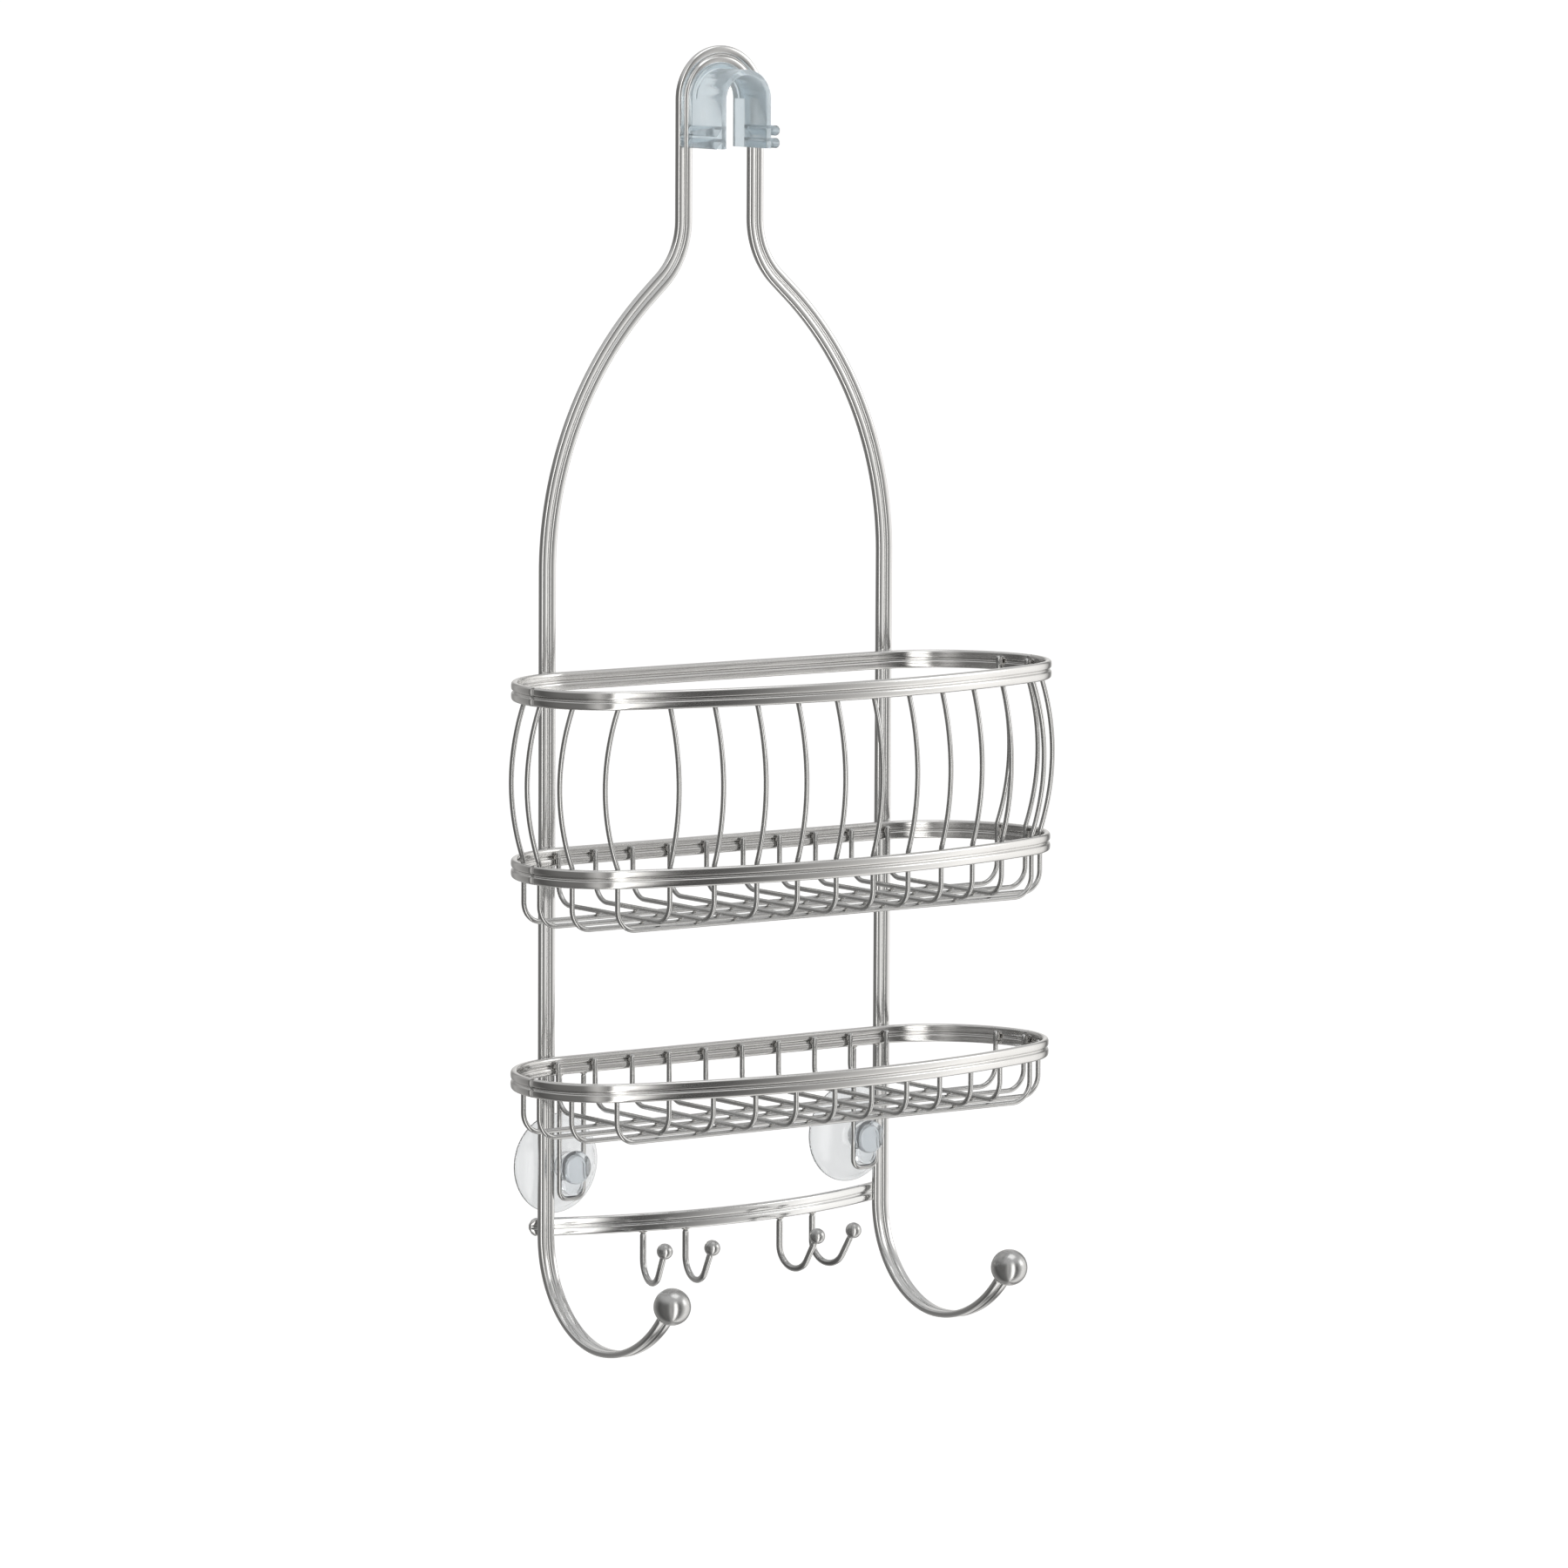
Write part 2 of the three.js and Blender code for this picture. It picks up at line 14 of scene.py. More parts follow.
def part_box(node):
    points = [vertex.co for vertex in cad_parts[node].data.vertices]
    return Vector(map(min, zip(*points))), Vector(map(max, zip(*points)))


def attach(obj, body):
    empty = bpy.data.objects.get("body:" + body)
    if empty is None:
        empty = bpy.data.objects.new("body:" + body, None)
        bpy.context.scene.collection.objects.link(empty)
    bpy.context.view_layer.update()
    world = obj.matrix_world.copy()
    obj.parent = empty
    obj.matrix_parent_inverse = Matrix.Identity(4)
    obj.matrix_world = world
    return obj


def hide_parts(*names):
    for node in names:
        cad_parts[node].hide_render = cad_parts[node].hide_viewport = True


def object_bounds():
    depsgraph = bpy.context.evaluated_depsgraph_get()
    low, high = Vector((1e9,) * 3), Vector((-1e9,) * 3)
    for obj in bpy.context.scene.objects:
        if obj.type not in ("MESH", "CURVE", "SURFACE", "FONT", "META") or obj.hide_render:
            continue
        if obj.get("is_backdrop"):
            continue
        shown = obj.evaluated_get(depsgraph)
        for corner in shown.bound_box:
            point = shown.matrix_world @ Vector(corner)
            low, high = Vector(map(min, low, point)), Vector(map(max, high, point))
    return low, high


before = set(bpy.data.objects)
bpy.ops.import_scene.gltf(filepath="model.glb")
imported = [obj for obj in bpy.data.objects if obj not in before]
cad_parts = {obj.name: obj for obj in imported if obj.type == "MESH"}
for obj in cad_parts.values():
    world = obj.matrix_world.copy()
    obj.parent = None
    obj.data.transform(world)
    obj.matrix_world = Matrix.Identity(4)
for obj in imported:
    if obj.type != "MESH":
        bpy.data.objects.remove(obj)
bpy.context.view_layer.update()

# %% [markdown]
# The camera stands to the left of the caddy and a little above it, far away behind a long lens, so that
# upright bars stay nearly parallel. It comes first, because every later choice is judged through it.

# %% Camera
VIEW_AZIMUTH = 36.0
VIEW_DROP = 6.4
VIEW_ROLL = 0.28
VIEW_DISTANCE = 3.856
LENS = 204.4
view_target = Vector((0.0071, -0.040, -0.3057))


def camera_axes(azimuth, drop, roll):
    """Right, up and backward axes. Forward points along the azimuth and down by the drop; right is level."""
    a, d, r = map(math.radians, (azimuth, drop, roll))
    forward = Vector((math.sin(a) * math.cos(d), math.cos(a) * math.cos(d), -math.sin(d)))
    level = Vector((math.cos(a), -math.sin(a), 0))
    above = level.cross(forward)
    right = level * math.cos(r) + above * math.sin(r)
    up = above * math.cos(r) - level * math.sin(r)
    return right, up, -forward


right, up, backward = camera_axes(VIEW_AZIMUTH, VIEW_DROP, VIEW_ROLL)
camera_data = bpy.data.cameras.new("studio_camera")
camera_data.lens = LENS
camera_data.clip_end = 100
camera = bpy.data.objects.new("studio_camera", camera_data)
bpy.context.scene.collection.objects.link(camera)
camera.matrix_world = Matrix((right, up, backward)).transposed().to_4x4()
camera.location = view_target + backward * VIEW_DISTANCE
bpy.context.scene.camera = camera
print("camera at", [round(x, 3) for x in camera.location])

# %% [markdown]
# The pieces are worked out in millimetres, because a 2.2 mm wire reads better than 0.0022. The camera,
# the floor and the lamps are in metres, as Blender is. One helper turns a grid of rings into a closed
# mesh and into metres. It also lays a flat map on the piece, in metres along and around it, for the
# brushing marks to follow.

# %% Skin a grid of rings
MM = 0.001
X, Y, Z = np.eye(3)


def unit(v):
    """Each vector over its own length."""
    return v / np.linalg.norm(v, axis=-1, keepdims=True)


def new_object(name, points, faces, corner_map=None, flat=0):
    """A mesh object at the origin. The last `flat` faces keep flat shading, all others are smooth."""
    mesh = bpy.data.meshes.new(name)
    mesh.from_pydata(points * MM, [], faces)
    smooth = np.ones(len(faces), bool)
    smooth[len(faces) - flat:] = False
    mesh.polygons.foreach_set("use_smooth", smooth)
    if corner_map is not None:
        layer = mesh.uv_layers.new(name="Brushing")
        corners = np.zeros((len(mesh.loops), 2), np.float32)
        corners[:len(corner_map)] = corner_map
        layer.data.foreach_set("uv", corners.ravel())
    mesh.validate()
    made = bpy.data.objects.new(name, mesh)
    bpy.context.scene.collection.objects.link(made)
    return made


def skin(name, grid, loop=False):
    """Quads join ring i to ring i + 1 and point j to point j + 1, both counted round. An open row of
    rings gets one flat face at each end. Where the volume, a sixth of the sum of a . (b x c) over the
    triangles about the middle, comes out negative, every face is turned round."""
    rings, around = grid.shape[:2]
    rows = rings if loop else rings - 1
    i, j = np.meshgrid(np.arange(rows), np.arange(around), indexing="ij")
    after, beside = (i + 1) % rings, (j + 1) % around
    quads = np.stack([i * around + j, after * around + j, after * around + beside, i * around + beside], -1)
    quads = quads.reshape(-1, 4)
    points = grid.reshape(-1, 3)
    along = np.r_[0, np.cumsum(np.linalg.norm(np.diff(grid.mean(1), axis=0), axis=1))]
    along = np.r_[along, along[-1] + np.linalg.norm(grid[-1].mean(0) - grid[0].mean(0))]
    widest = grid[rings // 2]
    girth = np.r_[0, np.cumsum(np.linalg.norm(np.roll(widest, -1, 0) - widest, axis=1))]
    u = np.stack([along[i], along[i + 1], along[i + 1], along[i]], -1)
    v = np.stack([girth[j], girth[j], girth[j + 1], girth[j + 1]], -1)
    corner_map = np.stack([u, v], -1).reshape(-1, 4, 2) * MM
    a, b, c, d = (points[quads[:, k]] - points.mean(0) for k in range(4))
    volume = (a * (np.cross(b, c) + np.cross(c, d))).sum() / 6
    first, last = list(range(around)), list(range(len(points) - around, len(points)))
    caps = [] if loop else [first, last[::-1]]
    if volume < 0:
        quads, corner_map = quads[:, ::-1], corner_map[:, ::-1]
        caps = [cap[::-1] for cap in caps]
    return new_object(name, points, quads.tolist() + caps, corner_map.reshape(-1, 2), len(caps))


# %% [markdown]
# A bent bar is straight runs and circular bends. The routes are lists of stations; a bend turns an arm
# about an axis by even steps, so its points are exactly on the circle.

# %% Routes
STEP = 1.0
BEND_SPACING = 0.7


def arc(centre, start, axis, degrees, spacing=STEP):
    """The arm from centre to start, turned: arm cos t + (axis x arm) sin t."""
    centre, arm = np.asarray(centre, float), np.subtract(start, centre)
    angle = math.radians(degrees)
    count = max(6, math.ceil(abs(angle) * np.linalg.norm(arm) / spacing))
    t = np.linspace(0, angle, count + 1)[:, None]
    return centre + arm * np.cos(t) + np.cross(axis, arm) * np.sin(t)


def joined(*runs):
    """The runs one after another, without a station that repeats the one before."""
    points = np.vstack(runs)
    fresh = np.linalg.norm(np.diff(points, axis=0), axis=1) > 1e-3
    return points[np.r_[True, fresh]]


def rounded(corners, radius):
    """A polyline whose inner corners become bends of one radius, tangent to both runs."""
    corners = [np.asarray(c, float) for c in corners]
    runs = [corners[:1]]
    for before, here, after in zip(corners, corners[1:], corners[2:]):
        back, ahead = unit(before - here), unit(after - here)
        half = math.acos(np.clip(back @ ahead, -1, 1)) / 2
        centre = here + unit(back + ahead) * radius / math.sin(half)
        axis = unit(np.cross(ahead, back))
        start = here + back * radius / math.tan(half)
        runs.append(arc(centre, start, axis, 180 - 2 * math.degrees(half), BEND_SPACING))
    return joined(*runs, corners[-1:])


def headings(path, loop=False):
    """The mean direction of the runs before and after each station."""
    if loop:
        ahead = unit(np.roll(path, -1, 0) - path)
        return unit(ahead + np.roll(ahead, 1, 0))
    ahead = unit(np.diff(path, axis=0))
    return unit(np.vstack([ahead[:1], ahead]) + np.vstack([ahead, ahead[-1:]]))


def sweep(name, profile, path, normal, loop=False, scale=1.0):
    """Station p carries the profile (a, b) to p + a * side + b * lift, where lift is the given normal
    made square to the heading and side is lift x heading. Scale shrinks a and b at each station."""
    ahead = headings(path, loop)
    lift = np.broadcast_to(normal, path.shape)
    lift = unit(lift - ahead * (lift * ahead).sum(1, keepdims=True))
    side = np.cross(lift, ahead)
    sized = profile[None] * np.broadcast_to(scale, (len(path), 2))[:, None]
    grid = path[:, None] + sized[..., :1] * side[:, None] + sized[..., 1:] * lift[:, None]
    return skin(name, grid, loop)


def ends_rounded(path, radius):
    """Extra stations over the last radius of each end: place runs out as sin t, scale falls as cos t."""
    t = np.radians([0, 25, 45, 62, 76, 86])
    reach = (radius * (1 - np.sin(t)))[:, None]
    head = path[0] + unit(path[1] - path[0]) * reach
    tail = path[-1] + unit(path[-2] - path[-1]) * reach
    places = np.vstack([head[::-1], path[1:-1], tail])
    return places, np.r_[np.cos(t)[::-1], np.ones(len(path) - 2), np.cos(t)]


# %% [markdown]
# ## Satin steel
# The metal has a satin shine. An image could carry its grain, but noise needs no file: fine streaks are
# drawn out along the bar, and a slower cloudiness is mixed with them.
# Several finishes need both, so they are one node group; the shader itself stays in each material.

# %% The brushed grain group
def brushed_group():
    """Colour and roughness between two values, and a height, from streaks stretched along X."""
    group = bpy.data.node_groups.new("Brushed grain", "ShaderNodeTree")
    face = group.interface
    face.new_socket("Vector", in_out="INPUT", socket_type="NodeSocketVector")
    for label in ("Light", "Dark"):
        face.new_socket(label, in_out="INPUT", socket_type="NodeSocketColor")
    numbers = (("Streaks per metre", 450.0), ("Stretch", 40.0), ("Smooth", 0.24), ("Rough", 0.36))
    for label, default in numbers:
        face.new_socket(label, in_out="INPUT", socket_type="NodeSocketFloat").default_value = default
    face.new_socket("Color", in_out="OUTPUT", socket_type="NodeSocketColor")
    for label in ("Roughness", "Height"):
        face.new_socket(label, in_out="OUTPUT", socket_type="NodeSocketFloat")
    nodes, links = group.nodes, group.links
    given, put = nodes.new("NodeGroupInput"), nodes.new("NodeGroupOutput")
    shrink = nodes.new("ShaderNodeMath")
    shrink.operation = "DIVIDE"
    shrink.inputs[0].default_value = 1.0
    links.new(given.outputs["Stretch"], shrink.inputs[1])
    squeeze = nodes.new("ShaderNodeCombineXYZ")
    squeeze.inputs[1].default_value = 1.0
    squeeze.inputs[2].default_value = 1.0
    links.new(shrink.outputs[0], squeeze.inputs[0])
    drawn = nodes.new("ShaderNodeVectorMath")
    drawn.operation = "MULTIPLY"
    links.new(given.outputs["Vector"], drawn.inputs[0])
    links.new(squeeze.outputs[0], drawn.inputs[1])
    streaks = nodes.new("ShaderNodeTexNoise")
    streaks.inputs["Detail"].default_value = 1.5
    streaks.inputs["Roughness"].default_value = 0.65
    links.new(drawn.outputs[0], streaks.inputs["Vector"])
    links.new(given.outputs["Streaks per metre"], streaks.inputs["Scale"])
    clouds = nodes.new("ShaderNodeTexNoise")
    clouds.inputs["Scale"].default_value = 55.0
    clouds.inputs["Detail"].default_value = 2.0
    links.new(given.outputs["Vector"], clouds.inputs["Vector"])
    both = nodes.new("ShaderNodeMix")
    both.inputs["Factor"].default_value = 0.35
    links.new(streaks.outputs["Fac"], both.inputs["A"])
    links.new(clouds.outputs["Fac"], both.inputs["B"])
    spread = nodes.new("ShaderNodeMapRange")
    spread.inputs["From Min"].default_value = 0.3
    spread.inputs["From Max"].default_value = 0.7
    links.new(both.outputs["Result"], spread.inputs["Value"])
    tint = nodes.new("ShaderNodeMix")
    tint.data_type = "RGBA"
    links.new(spread.outputs["Result"], tint.inputs["Factor"])
    links.new(given.outputs["Light"], tint.inputs["A"])
    links.new(given.outputs["Dark"], tint.inputs["B"])
    polish = nodes.new("ShaderNodeMapRange")
    links.new(spread.outputs["Result"], polish.inputs["Value"])
    links.new(given.outputs["Smooth"], polish.inputs["To Min"])
    links.new(given.outputs["Rough"], polish.inputs["To Max"])
    links.new(tint.outputs["Result"], put.inputs["Color"])
    links.new(polish.outputs["Result"], put.inputs["Roughness"])
    links.new(streaks.outputs["Fac"], put.inputs["Height"])
    return group


BRUSHED = brushed_group()
print("brushed grain group:", len(BRUSHED.nodes), "nodes")

# %% [markdown]
# Bar, rim, wire, hook, ball and weld are all steel in slightly different tones. Each could have its own
# nodes, but one function makes them all from a light and a dark tone, a smooth and a rough value and a
# grain, so they stay a family. A stretch of 1 leaves the balls and the welds without any streaks.

# %% Steel finishes
GRAIN_DEPTH = 0.01


def steel(name, light, dark, smooth, rough, streaks=450.0, stretch=40.0, mapped=True):
    """A metal whose grain follows the piece's own map, or its place where it has none."""
    material = bpy.data.materials.new(name)
    material.use_nodes = True
    nodes, links = material.node_tree.nodes, material.node_tree.links
    shader = nodes["Principled BSDF"]
    shader.inputs["Metallic"].default_value = 1.0
    place = nodes.new("ShaderNodeTexCoord")
    grain = nodes.new("ShaderNodeGroup")
    grain.node_tree = BRUSHED
    grain.inputs["Light"].default_value = (*light, 1)
    grain.inputs["Dark"].default_value = (*dark, 1)
    grain.inputs["Smooth"].default_value = smooth
    grain.inputs["Rough"].default_value = rough
    grain.inputs["Streaks per metre"].default_value = streaks
    grain.inputs["Stretch"].default_value = stretch
    bump = nodes.new("ShaderNodeBump")
    bump.inputs["Strength"].default_value = 0.05
    bump.inputs["Distance"].default_value = GRAIN_DEPTH * MM
    links.new(place.outputs["UV" if mapped else "Object"], grain.inputs["Vector"])
    links.new(grain.outputs["Color"], shader.inputs["Base Color"])
    links.new(grain.outputs["Roughness"], shader.inputs["Roughness"])
    links.new(grain.outputs["Height"], bump.inputs["Height"])
    links.new(bump.outputs["Normal"], shader.inputs["Normal"])
    return material


bar_finish = steel("Satin bar steel", (0.70, 0.70, 0.695), (0.64, 0.64, 0.635), 0.12, 0.18)
rim_finish = steel("Satin rim steel", (0.68, 0.675, 0.665), (0.62, 0.615, 0.605), 0.12, 0.18)
wire_finish = steel("Satin wire steel", (0.58, 0.58, 0.575), (0.46, 0.46, 0.455), 0.14, 0.24, streaks=700.0)
hook_finish = steel("Satin hook steel", (0.58, 0.58, 0.575), (0.47, 0.47, 0.465), 0.14, 0.24, streaks=700.0)
ball_finish = steel(
    "Polished ball steel", (0.54, 0.54, 0.535), (0.49, 0.49, 0.485), 0.22, 0.28, mapped=False, stretch=1.0)
weld_finish = steel(
    "Weld bead steel", (0.66, 0.65, 0.63), (0.54, 0.53, 0.515), 0.3, 0.5, mapped=False, stretch=1.0)
print("steel finishes:", [m.name for m in bpy.data.materials])

# %% [markdown]
# ## Soft plastics
# The cups are clear vinyl with a faint blue, and the saddle is a milkier plastic. Light passes through
# both, so they are transmissive rather than pale and opaque, and their tint and roughness drift a
# little from place to place, so that they don't look like glass.

# %% Plastic finishes
CLOUDS_PER_METRE = 120.0
CLOUD_DEPTH = 0.3


def plastic(name, clear, milky, smooth, rough, transmission):
    """A see-through plastic whose tint and roughness drift between two values with its place."""
    material = bpy.data.materials.new(name)
    material.use_nodes = True
    nodes, links = material.node_tree.nodes, material.node_tree.links
    shader = nodes["Principled BSDF"]
    shader.inputs["Transmission Weight"].default_value = transmission
    shader.inputs["IOR"].default_value = 1.45
    place = nodes.new("ShaderNodeTexCoord")
    clouds = nodes.new("ShaderNodeTexNoise")
    clouds.inputs["Scale"].default_value = CLOUDS_PER_METRE
    clouds.inputs["Detail"].default_value = 3.0
    links.new(place.outputs["Object"], clouds.inputs["Vector"])
    tint = nodes.new("ShaderNodeMix")
    tint.data_type = "RGBA"
    tint.inputs["A"].default_value = (*clear, 1)
    tint.inputs["B"].default_value = (*milky, 1)
    links.new(clouds.outputs["Fac"], tint.inputs["Factor"])
    links.new(tint.outputs["Result"], shader.inputs["Base Color"])
    haze = nodes.new("ShaderNodeMapRange")
    haze.inputs["To Min"].default_value = smooth
    haze.inputs["To Max"].default_value = rough
    links.new(clouds.outputs["Fac"], haze.inputs["Value"])
    links.new(haze.outputs["Result"], shader.inputs["Roughness"])
    skin_bump = nodes.new("ShaderNodeBump")
    skin_bump.inputs["Strength"].default_value = 0.15
    skin_bump.inputs["Distance"].default_value = CLOUD_DEPTH * MM
    links.new(clouds.outputs["Fac"], skin_bump.inputs["Height"])
    links.new(skin_bump.outputs["Normal"], shader.inputs["Normal"])
    return material


vinyl_finish = plastic("Clear cup vinyl", (0.96, 0.97, 0.975), (0.91, 0.925, 0.935), 0.06, 0.22, 0.86)
head_finish = plastic("Blue cup vinyl", (0.97, 0.985, 1.0), (0.93, 0.965, 0.99), 0.05, 0.14, 0.92)
saddle_finish = plastic("Saddle plastic", (0.87, 0.935, 0.965), (0.78, 0.87, 0.92), 0.1, 0.22, 0.8)
print("plastic finishes ready")

# %% [markdown]
# ## The reeded bar
# Frame and hook rail are one extrusion: flat bar, 8 mm by 3 mm, with two slightly crowned ribs on each
# face, a narrow groove between them and eased edges. The rims are the same bar. Its half thickness is a
# formula of the distance across it, so every bar in the caddy shares one profile.

# %% Bar profile
BAR_WIDTH = 8.0
BAR_THICKNESS = 3.0
GROOVE_DEPTH = 0.5
GROOVE_HALF = 0.75
GROOVE_STEEPNESS = 1.6
RIB_PLACE = 0.52
CROWN = 0.36
EASE = 0.9
EASE_DEPTH = 0.75


def bar_profile(samples=57):
    """Half thickness at distance x across: T/2, less a crown that falls as the square of the distance
    from the rib's own middle, less a groove that falls as a bell, less a quarter-round edge."""
    half = BAR_WIDTH / 2
    x = half * np.sin(np.linspace(-1, 1, samples) * math.pi / 2)
    rib = half * RIB_PLACE
    crown = CROWN * ((np.abs(x) - rib) / (half - rib)) ** 2
    groove = GROOVE_DEPTH * np.exp(-((x / GROOVE_HALF) ** 4) * GROOVE_STEEPNESS)
    inward = np.clip((np.abs(x) - (half - EASE)) / EASE, 0, 1)
    edge = EASE_DEPTH * (1 - np.sqrt(np.clip(1 - inward ** 2, 0, 1)))
    y = BAR_THICKNESS / 2 - crown - groove - edge
    front = np.stack([x, y], 1)
    return np.vstack([front[::-1], -front[::-1]])


bar = bar_profile()
print("bar profile:", len(bar), "points, thickness", round(np.ptp(bar[:, 1]), 2), "mm")

# %% [markdown]
# ## The hanger frame
# One length of bar, bent in two planes. From the middle of the hoop it runs down the neck, flares out
# through a tight bend and a long shoulder, drops as a rail, and then curls forward into a towel hook.
# From the hoop to the rails its two broad faces look at the user and at the wall. In a hook they follow
# the bend, and the bar keeps its width along X.

# %% Frame route
ARM_DIAMETER = 21.3
NECK_HALF = 19.0
NECK_LENGTH = 52.0
NECK_BEND = 35.0
FLARE_RUN = 10.0
SHOULDER = 157.0
RAIL_HALF = 90.0
CURL_TOP = -500.0
CURL = 45.0
TAIL = 58.0
TAIL_DEGREES = 50.0
HOOK_BALL = 8.0
INTO_BALL = 1.0
TOUCH = 0.3

ARM_Z = -ARM_DIAMETER / 2
bends = NECK_BEND + SHOULDER
flare_reach = (bends - RAIL_HALF + NECK_HALF) / math.hypot(bends, FLARE_RUN)
flare = math.acos(flare_reach) - math.atan2(FLARE_RUN, bends)
neck_end = ARM_Z - NECK_LENGTH
shoulder_z = neck_end - bends * math.sin(flare) - FLARE_RUN * math.cos(flare)
flare_degrees = math.degrees(flare)


def frame_half():
    """Stations of the right half, and which of them belong to the hook that leaves the frame's plane."""
    hoop = arc((0, 0, ARM_Z), (0, 0, ARM_Z + NECK_HALF), Y, 90)
    neck = arc((NECK_HALF + NECK_BEND, 0, neck_end), (NECK_HALF, 0, neck_end), Y, -flare_degrees)
    middle = (RAIL_HALF - SHOULDER, 0, shoulder_z)
    start = np.add(middle, (SHOULDER * math.cos(flare), 0, SHOULDER * math.sin(flare)))
    shoulder = arc(middle, start, Y, flare_degrees)
    curl = arc((RAIL_HALF, -CURL, CURL_TOP), (RAIL_HALF, 0, CURL_TOP), X, -90)
    low = (RAIL_HALF, -CURL, CURL_TOP - CURL)
    tail = arc(np.add(low, (0, 0, TAIL)), low, X, -TAIL_DEGREES)
    flat = joined(hoop, neck, shoulder)
    points = joined(flat, curl, tail)
    return points, np.arange(len(points)) >= len(flat)


half_route, in_hook = frame_half()
tail_way = np.array([0, -math.cos(math.radians(TAIL_DEGREES)), math.sin(math.radians(TAIL_DEGREES))])
half_route = np.vstack([half_route, half_route[-1] + tail_way * INTO_BALL])
in_hook = np.r_[in_hook, True]
print("shoulder at", round(shoulder_z, 1), "mm; flare", round(flare_degrees, 1), "degrees")

# %% [markdown]
# A bevelled curve could make the bar too, but Blender would then choose its twist. Here the profile is
# carried along the stations with a normal that is stated for each, so the ribs can't turn over where
# the bar leaves the frame's plane. Each hook ends in a ball, which the bar runs a little way into.

# %% Frame bar and its balls
def settle(piece, body, node, finish):
    """The finished piece takes its material, stands for its CAD node and rides on that node's body."""
    piece.data.materials.clear()
    piece.data.materials.append(finish)
    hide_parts(node)
    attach(piece, body)
    return piece


FRAME_BODY = "frame_and_baskets"
mirror = np.array([-1, 1, 1])
frame_route = np.vstack([(half_route * mirror)[::-1], half_route[1:]])
hook_mask = np.r_[in_hook[::-1], in_hook[1:]]
way = headings(frame_route)
turned_out = np.cross(X, way) * np.sign(frame_route[:, :1])
frame_normal = np.where(hook_mask[:, None], turned_out, Y)
frame_bar = sweep("hanger_frame_bar", bar, frame_route, frame_normal)
settle(frame_bar, FRAME_BODY, "hanger_frame", bar_finish)
print("frame bar:", len(frame_bar.data.polygons), "faces")


def ball(name, centre, radius, rings=32, around=48):
    """A sphere: ring at height r cos t, of radius r sin t, closed by tiny end faces."""
    t = np.linspace(0.02, math.pi - 0.02, rings)[:, None]
    turn = np.linspace(0, 2 * math.pi, around, endpoint=False)[None]
    shape = np.stack([np.sin(t) * np.cos(turn), np.sin(t) * np.sin(turn), np.cos(t) + 0 * turn], -1)
    return skin(name, np.asarray(centre) + radius * shape)


for label, sign in (("left", -1), ("right", 1)):
    low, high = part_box(f"{label}_towel_ball")
    middle = np.array((low + high) / 2) / MM
    towel_ball = ball(f"{label}_towel_ball_round", middle, HOOK_BALL)
    settle(towel_ball, FRAME_BODY, f"{label}_towel_ball", ball_finish)
print("towel balls at", middle.round(1))

# %% [markdown]
# ## The rims
# Seen from above, a rim is a D: straight along the rails, large back corners, small front corners and a
# bowed front. Three kinds of arc, tangent to the straight runs between them, are all it takes, and an
# inset moves the whole outline inwards by changing only the radii.

# %% Rim outline
RIM_HALF = 134.0
RIM_FRONT = 106.0
FRONT_BOW = 330.0
FRONT_CORNER = 38.0
BACK_CORNER = 51.0
RIM_HEIGHT = 8.0
RIM_SPACING = 1.2
RIM_BACK = -BAR_THICKNESS / 2 - TOUCH

bow_y = FRONT_BOW - RIM_FRONT
corner_x = RIM_HALF - FRONT_CORNER
corner_y = bow_y - math.sqrt((FRONT_BOW - FRONT_CORNER) ** 2 - corner_x ** 2)
corner_turn = math.degrees(math.atan2(corner_x, bow_y - corner_y))
back_x, back_y = RIM_HALF - BACK_CORNER, RIM_BACK - BACK_CORNER


def rim_outline(inset, height):
    """Front bow, right front corner, right back corner, then the same two mirrored."""
    def bend(cx, cy, radius, start, degrees):
        t = math.radians(start)
        start_point = (cx + radius * math.cos(t), cy + radius * math.sin(t), height)
        return arc((cx, cy, height), start_point, Z, degrees, RIM_SPACING)

    front = bend(0, bow_y, FRONT_BOW - inset, -90 - corner_turn, 2 * corner_turn)
    near = bend(corner_x, corner_y, FRONT_CORNER - inset, -90 + corner_turn, 90 - corner_turn)
    far = bend(back_x, back_y, BACK_CORNER - inset, 0, 90)
    outline = joined(front, near, far, (far * mirror)[::-1], (near * mirror)[::-1])
    return outline[:-1]


rim_levels = {node: float(sum(corner.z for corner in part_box(node)) / 2 / MM)
              for node in ("basket_top_rim", "basket_lower_rim", "shelf_rim")}
standing_bar = bar[:, ::-1]
for node, height in rim_levels.items():
    rim = sweep(f"{node}_bar", standing_bar, rim_outline(BAR_THICKNESS / 2, height), Z, loop=True)
    settle(rim, FRAME_BODY, node, rim_finish)
print("rims at", rim_levels)

# %% [markdown]
# ## The wires
# Ten wires run from front to back and four from end to end below them. In the deep basket they bulge
# out between the two rims, which is what gives it its lantern shape. A wire is a round section on a
# flat route, so the plane's normal carries the section without any twist.

# %% Wire routes
WIRE = 2.2
WIRE_PITCH = 19.6
CROSS_COUNT = 10
SIDE_SHARES = (0.34, 0.495, 0.655, 0.776)
FLOOR_BEND = 9.0
BULGE = 6.5
INSET = BAR_THICKNESS + TOUCH + WIRE / 2
STUB = RIM_HEIGHT / 2 - 1.5
BASKET_FLOOR = 20.0
SHELF_FLOOR = 19.5


def front_edge(x):
    """Y of the wires' line along the front bow."""
    return bow_y - math.sqrt((FRONT_BOW - INSET) ** 2 - x ** 2)


def rear_edge(x):
    """Y of the wires' line along the back: straight, then round the back corner."""
    return back_y + math.sqrt((BACK_CORNER - INSET) ** 2 - max(abs(x) - back_x, 0) ** 2)


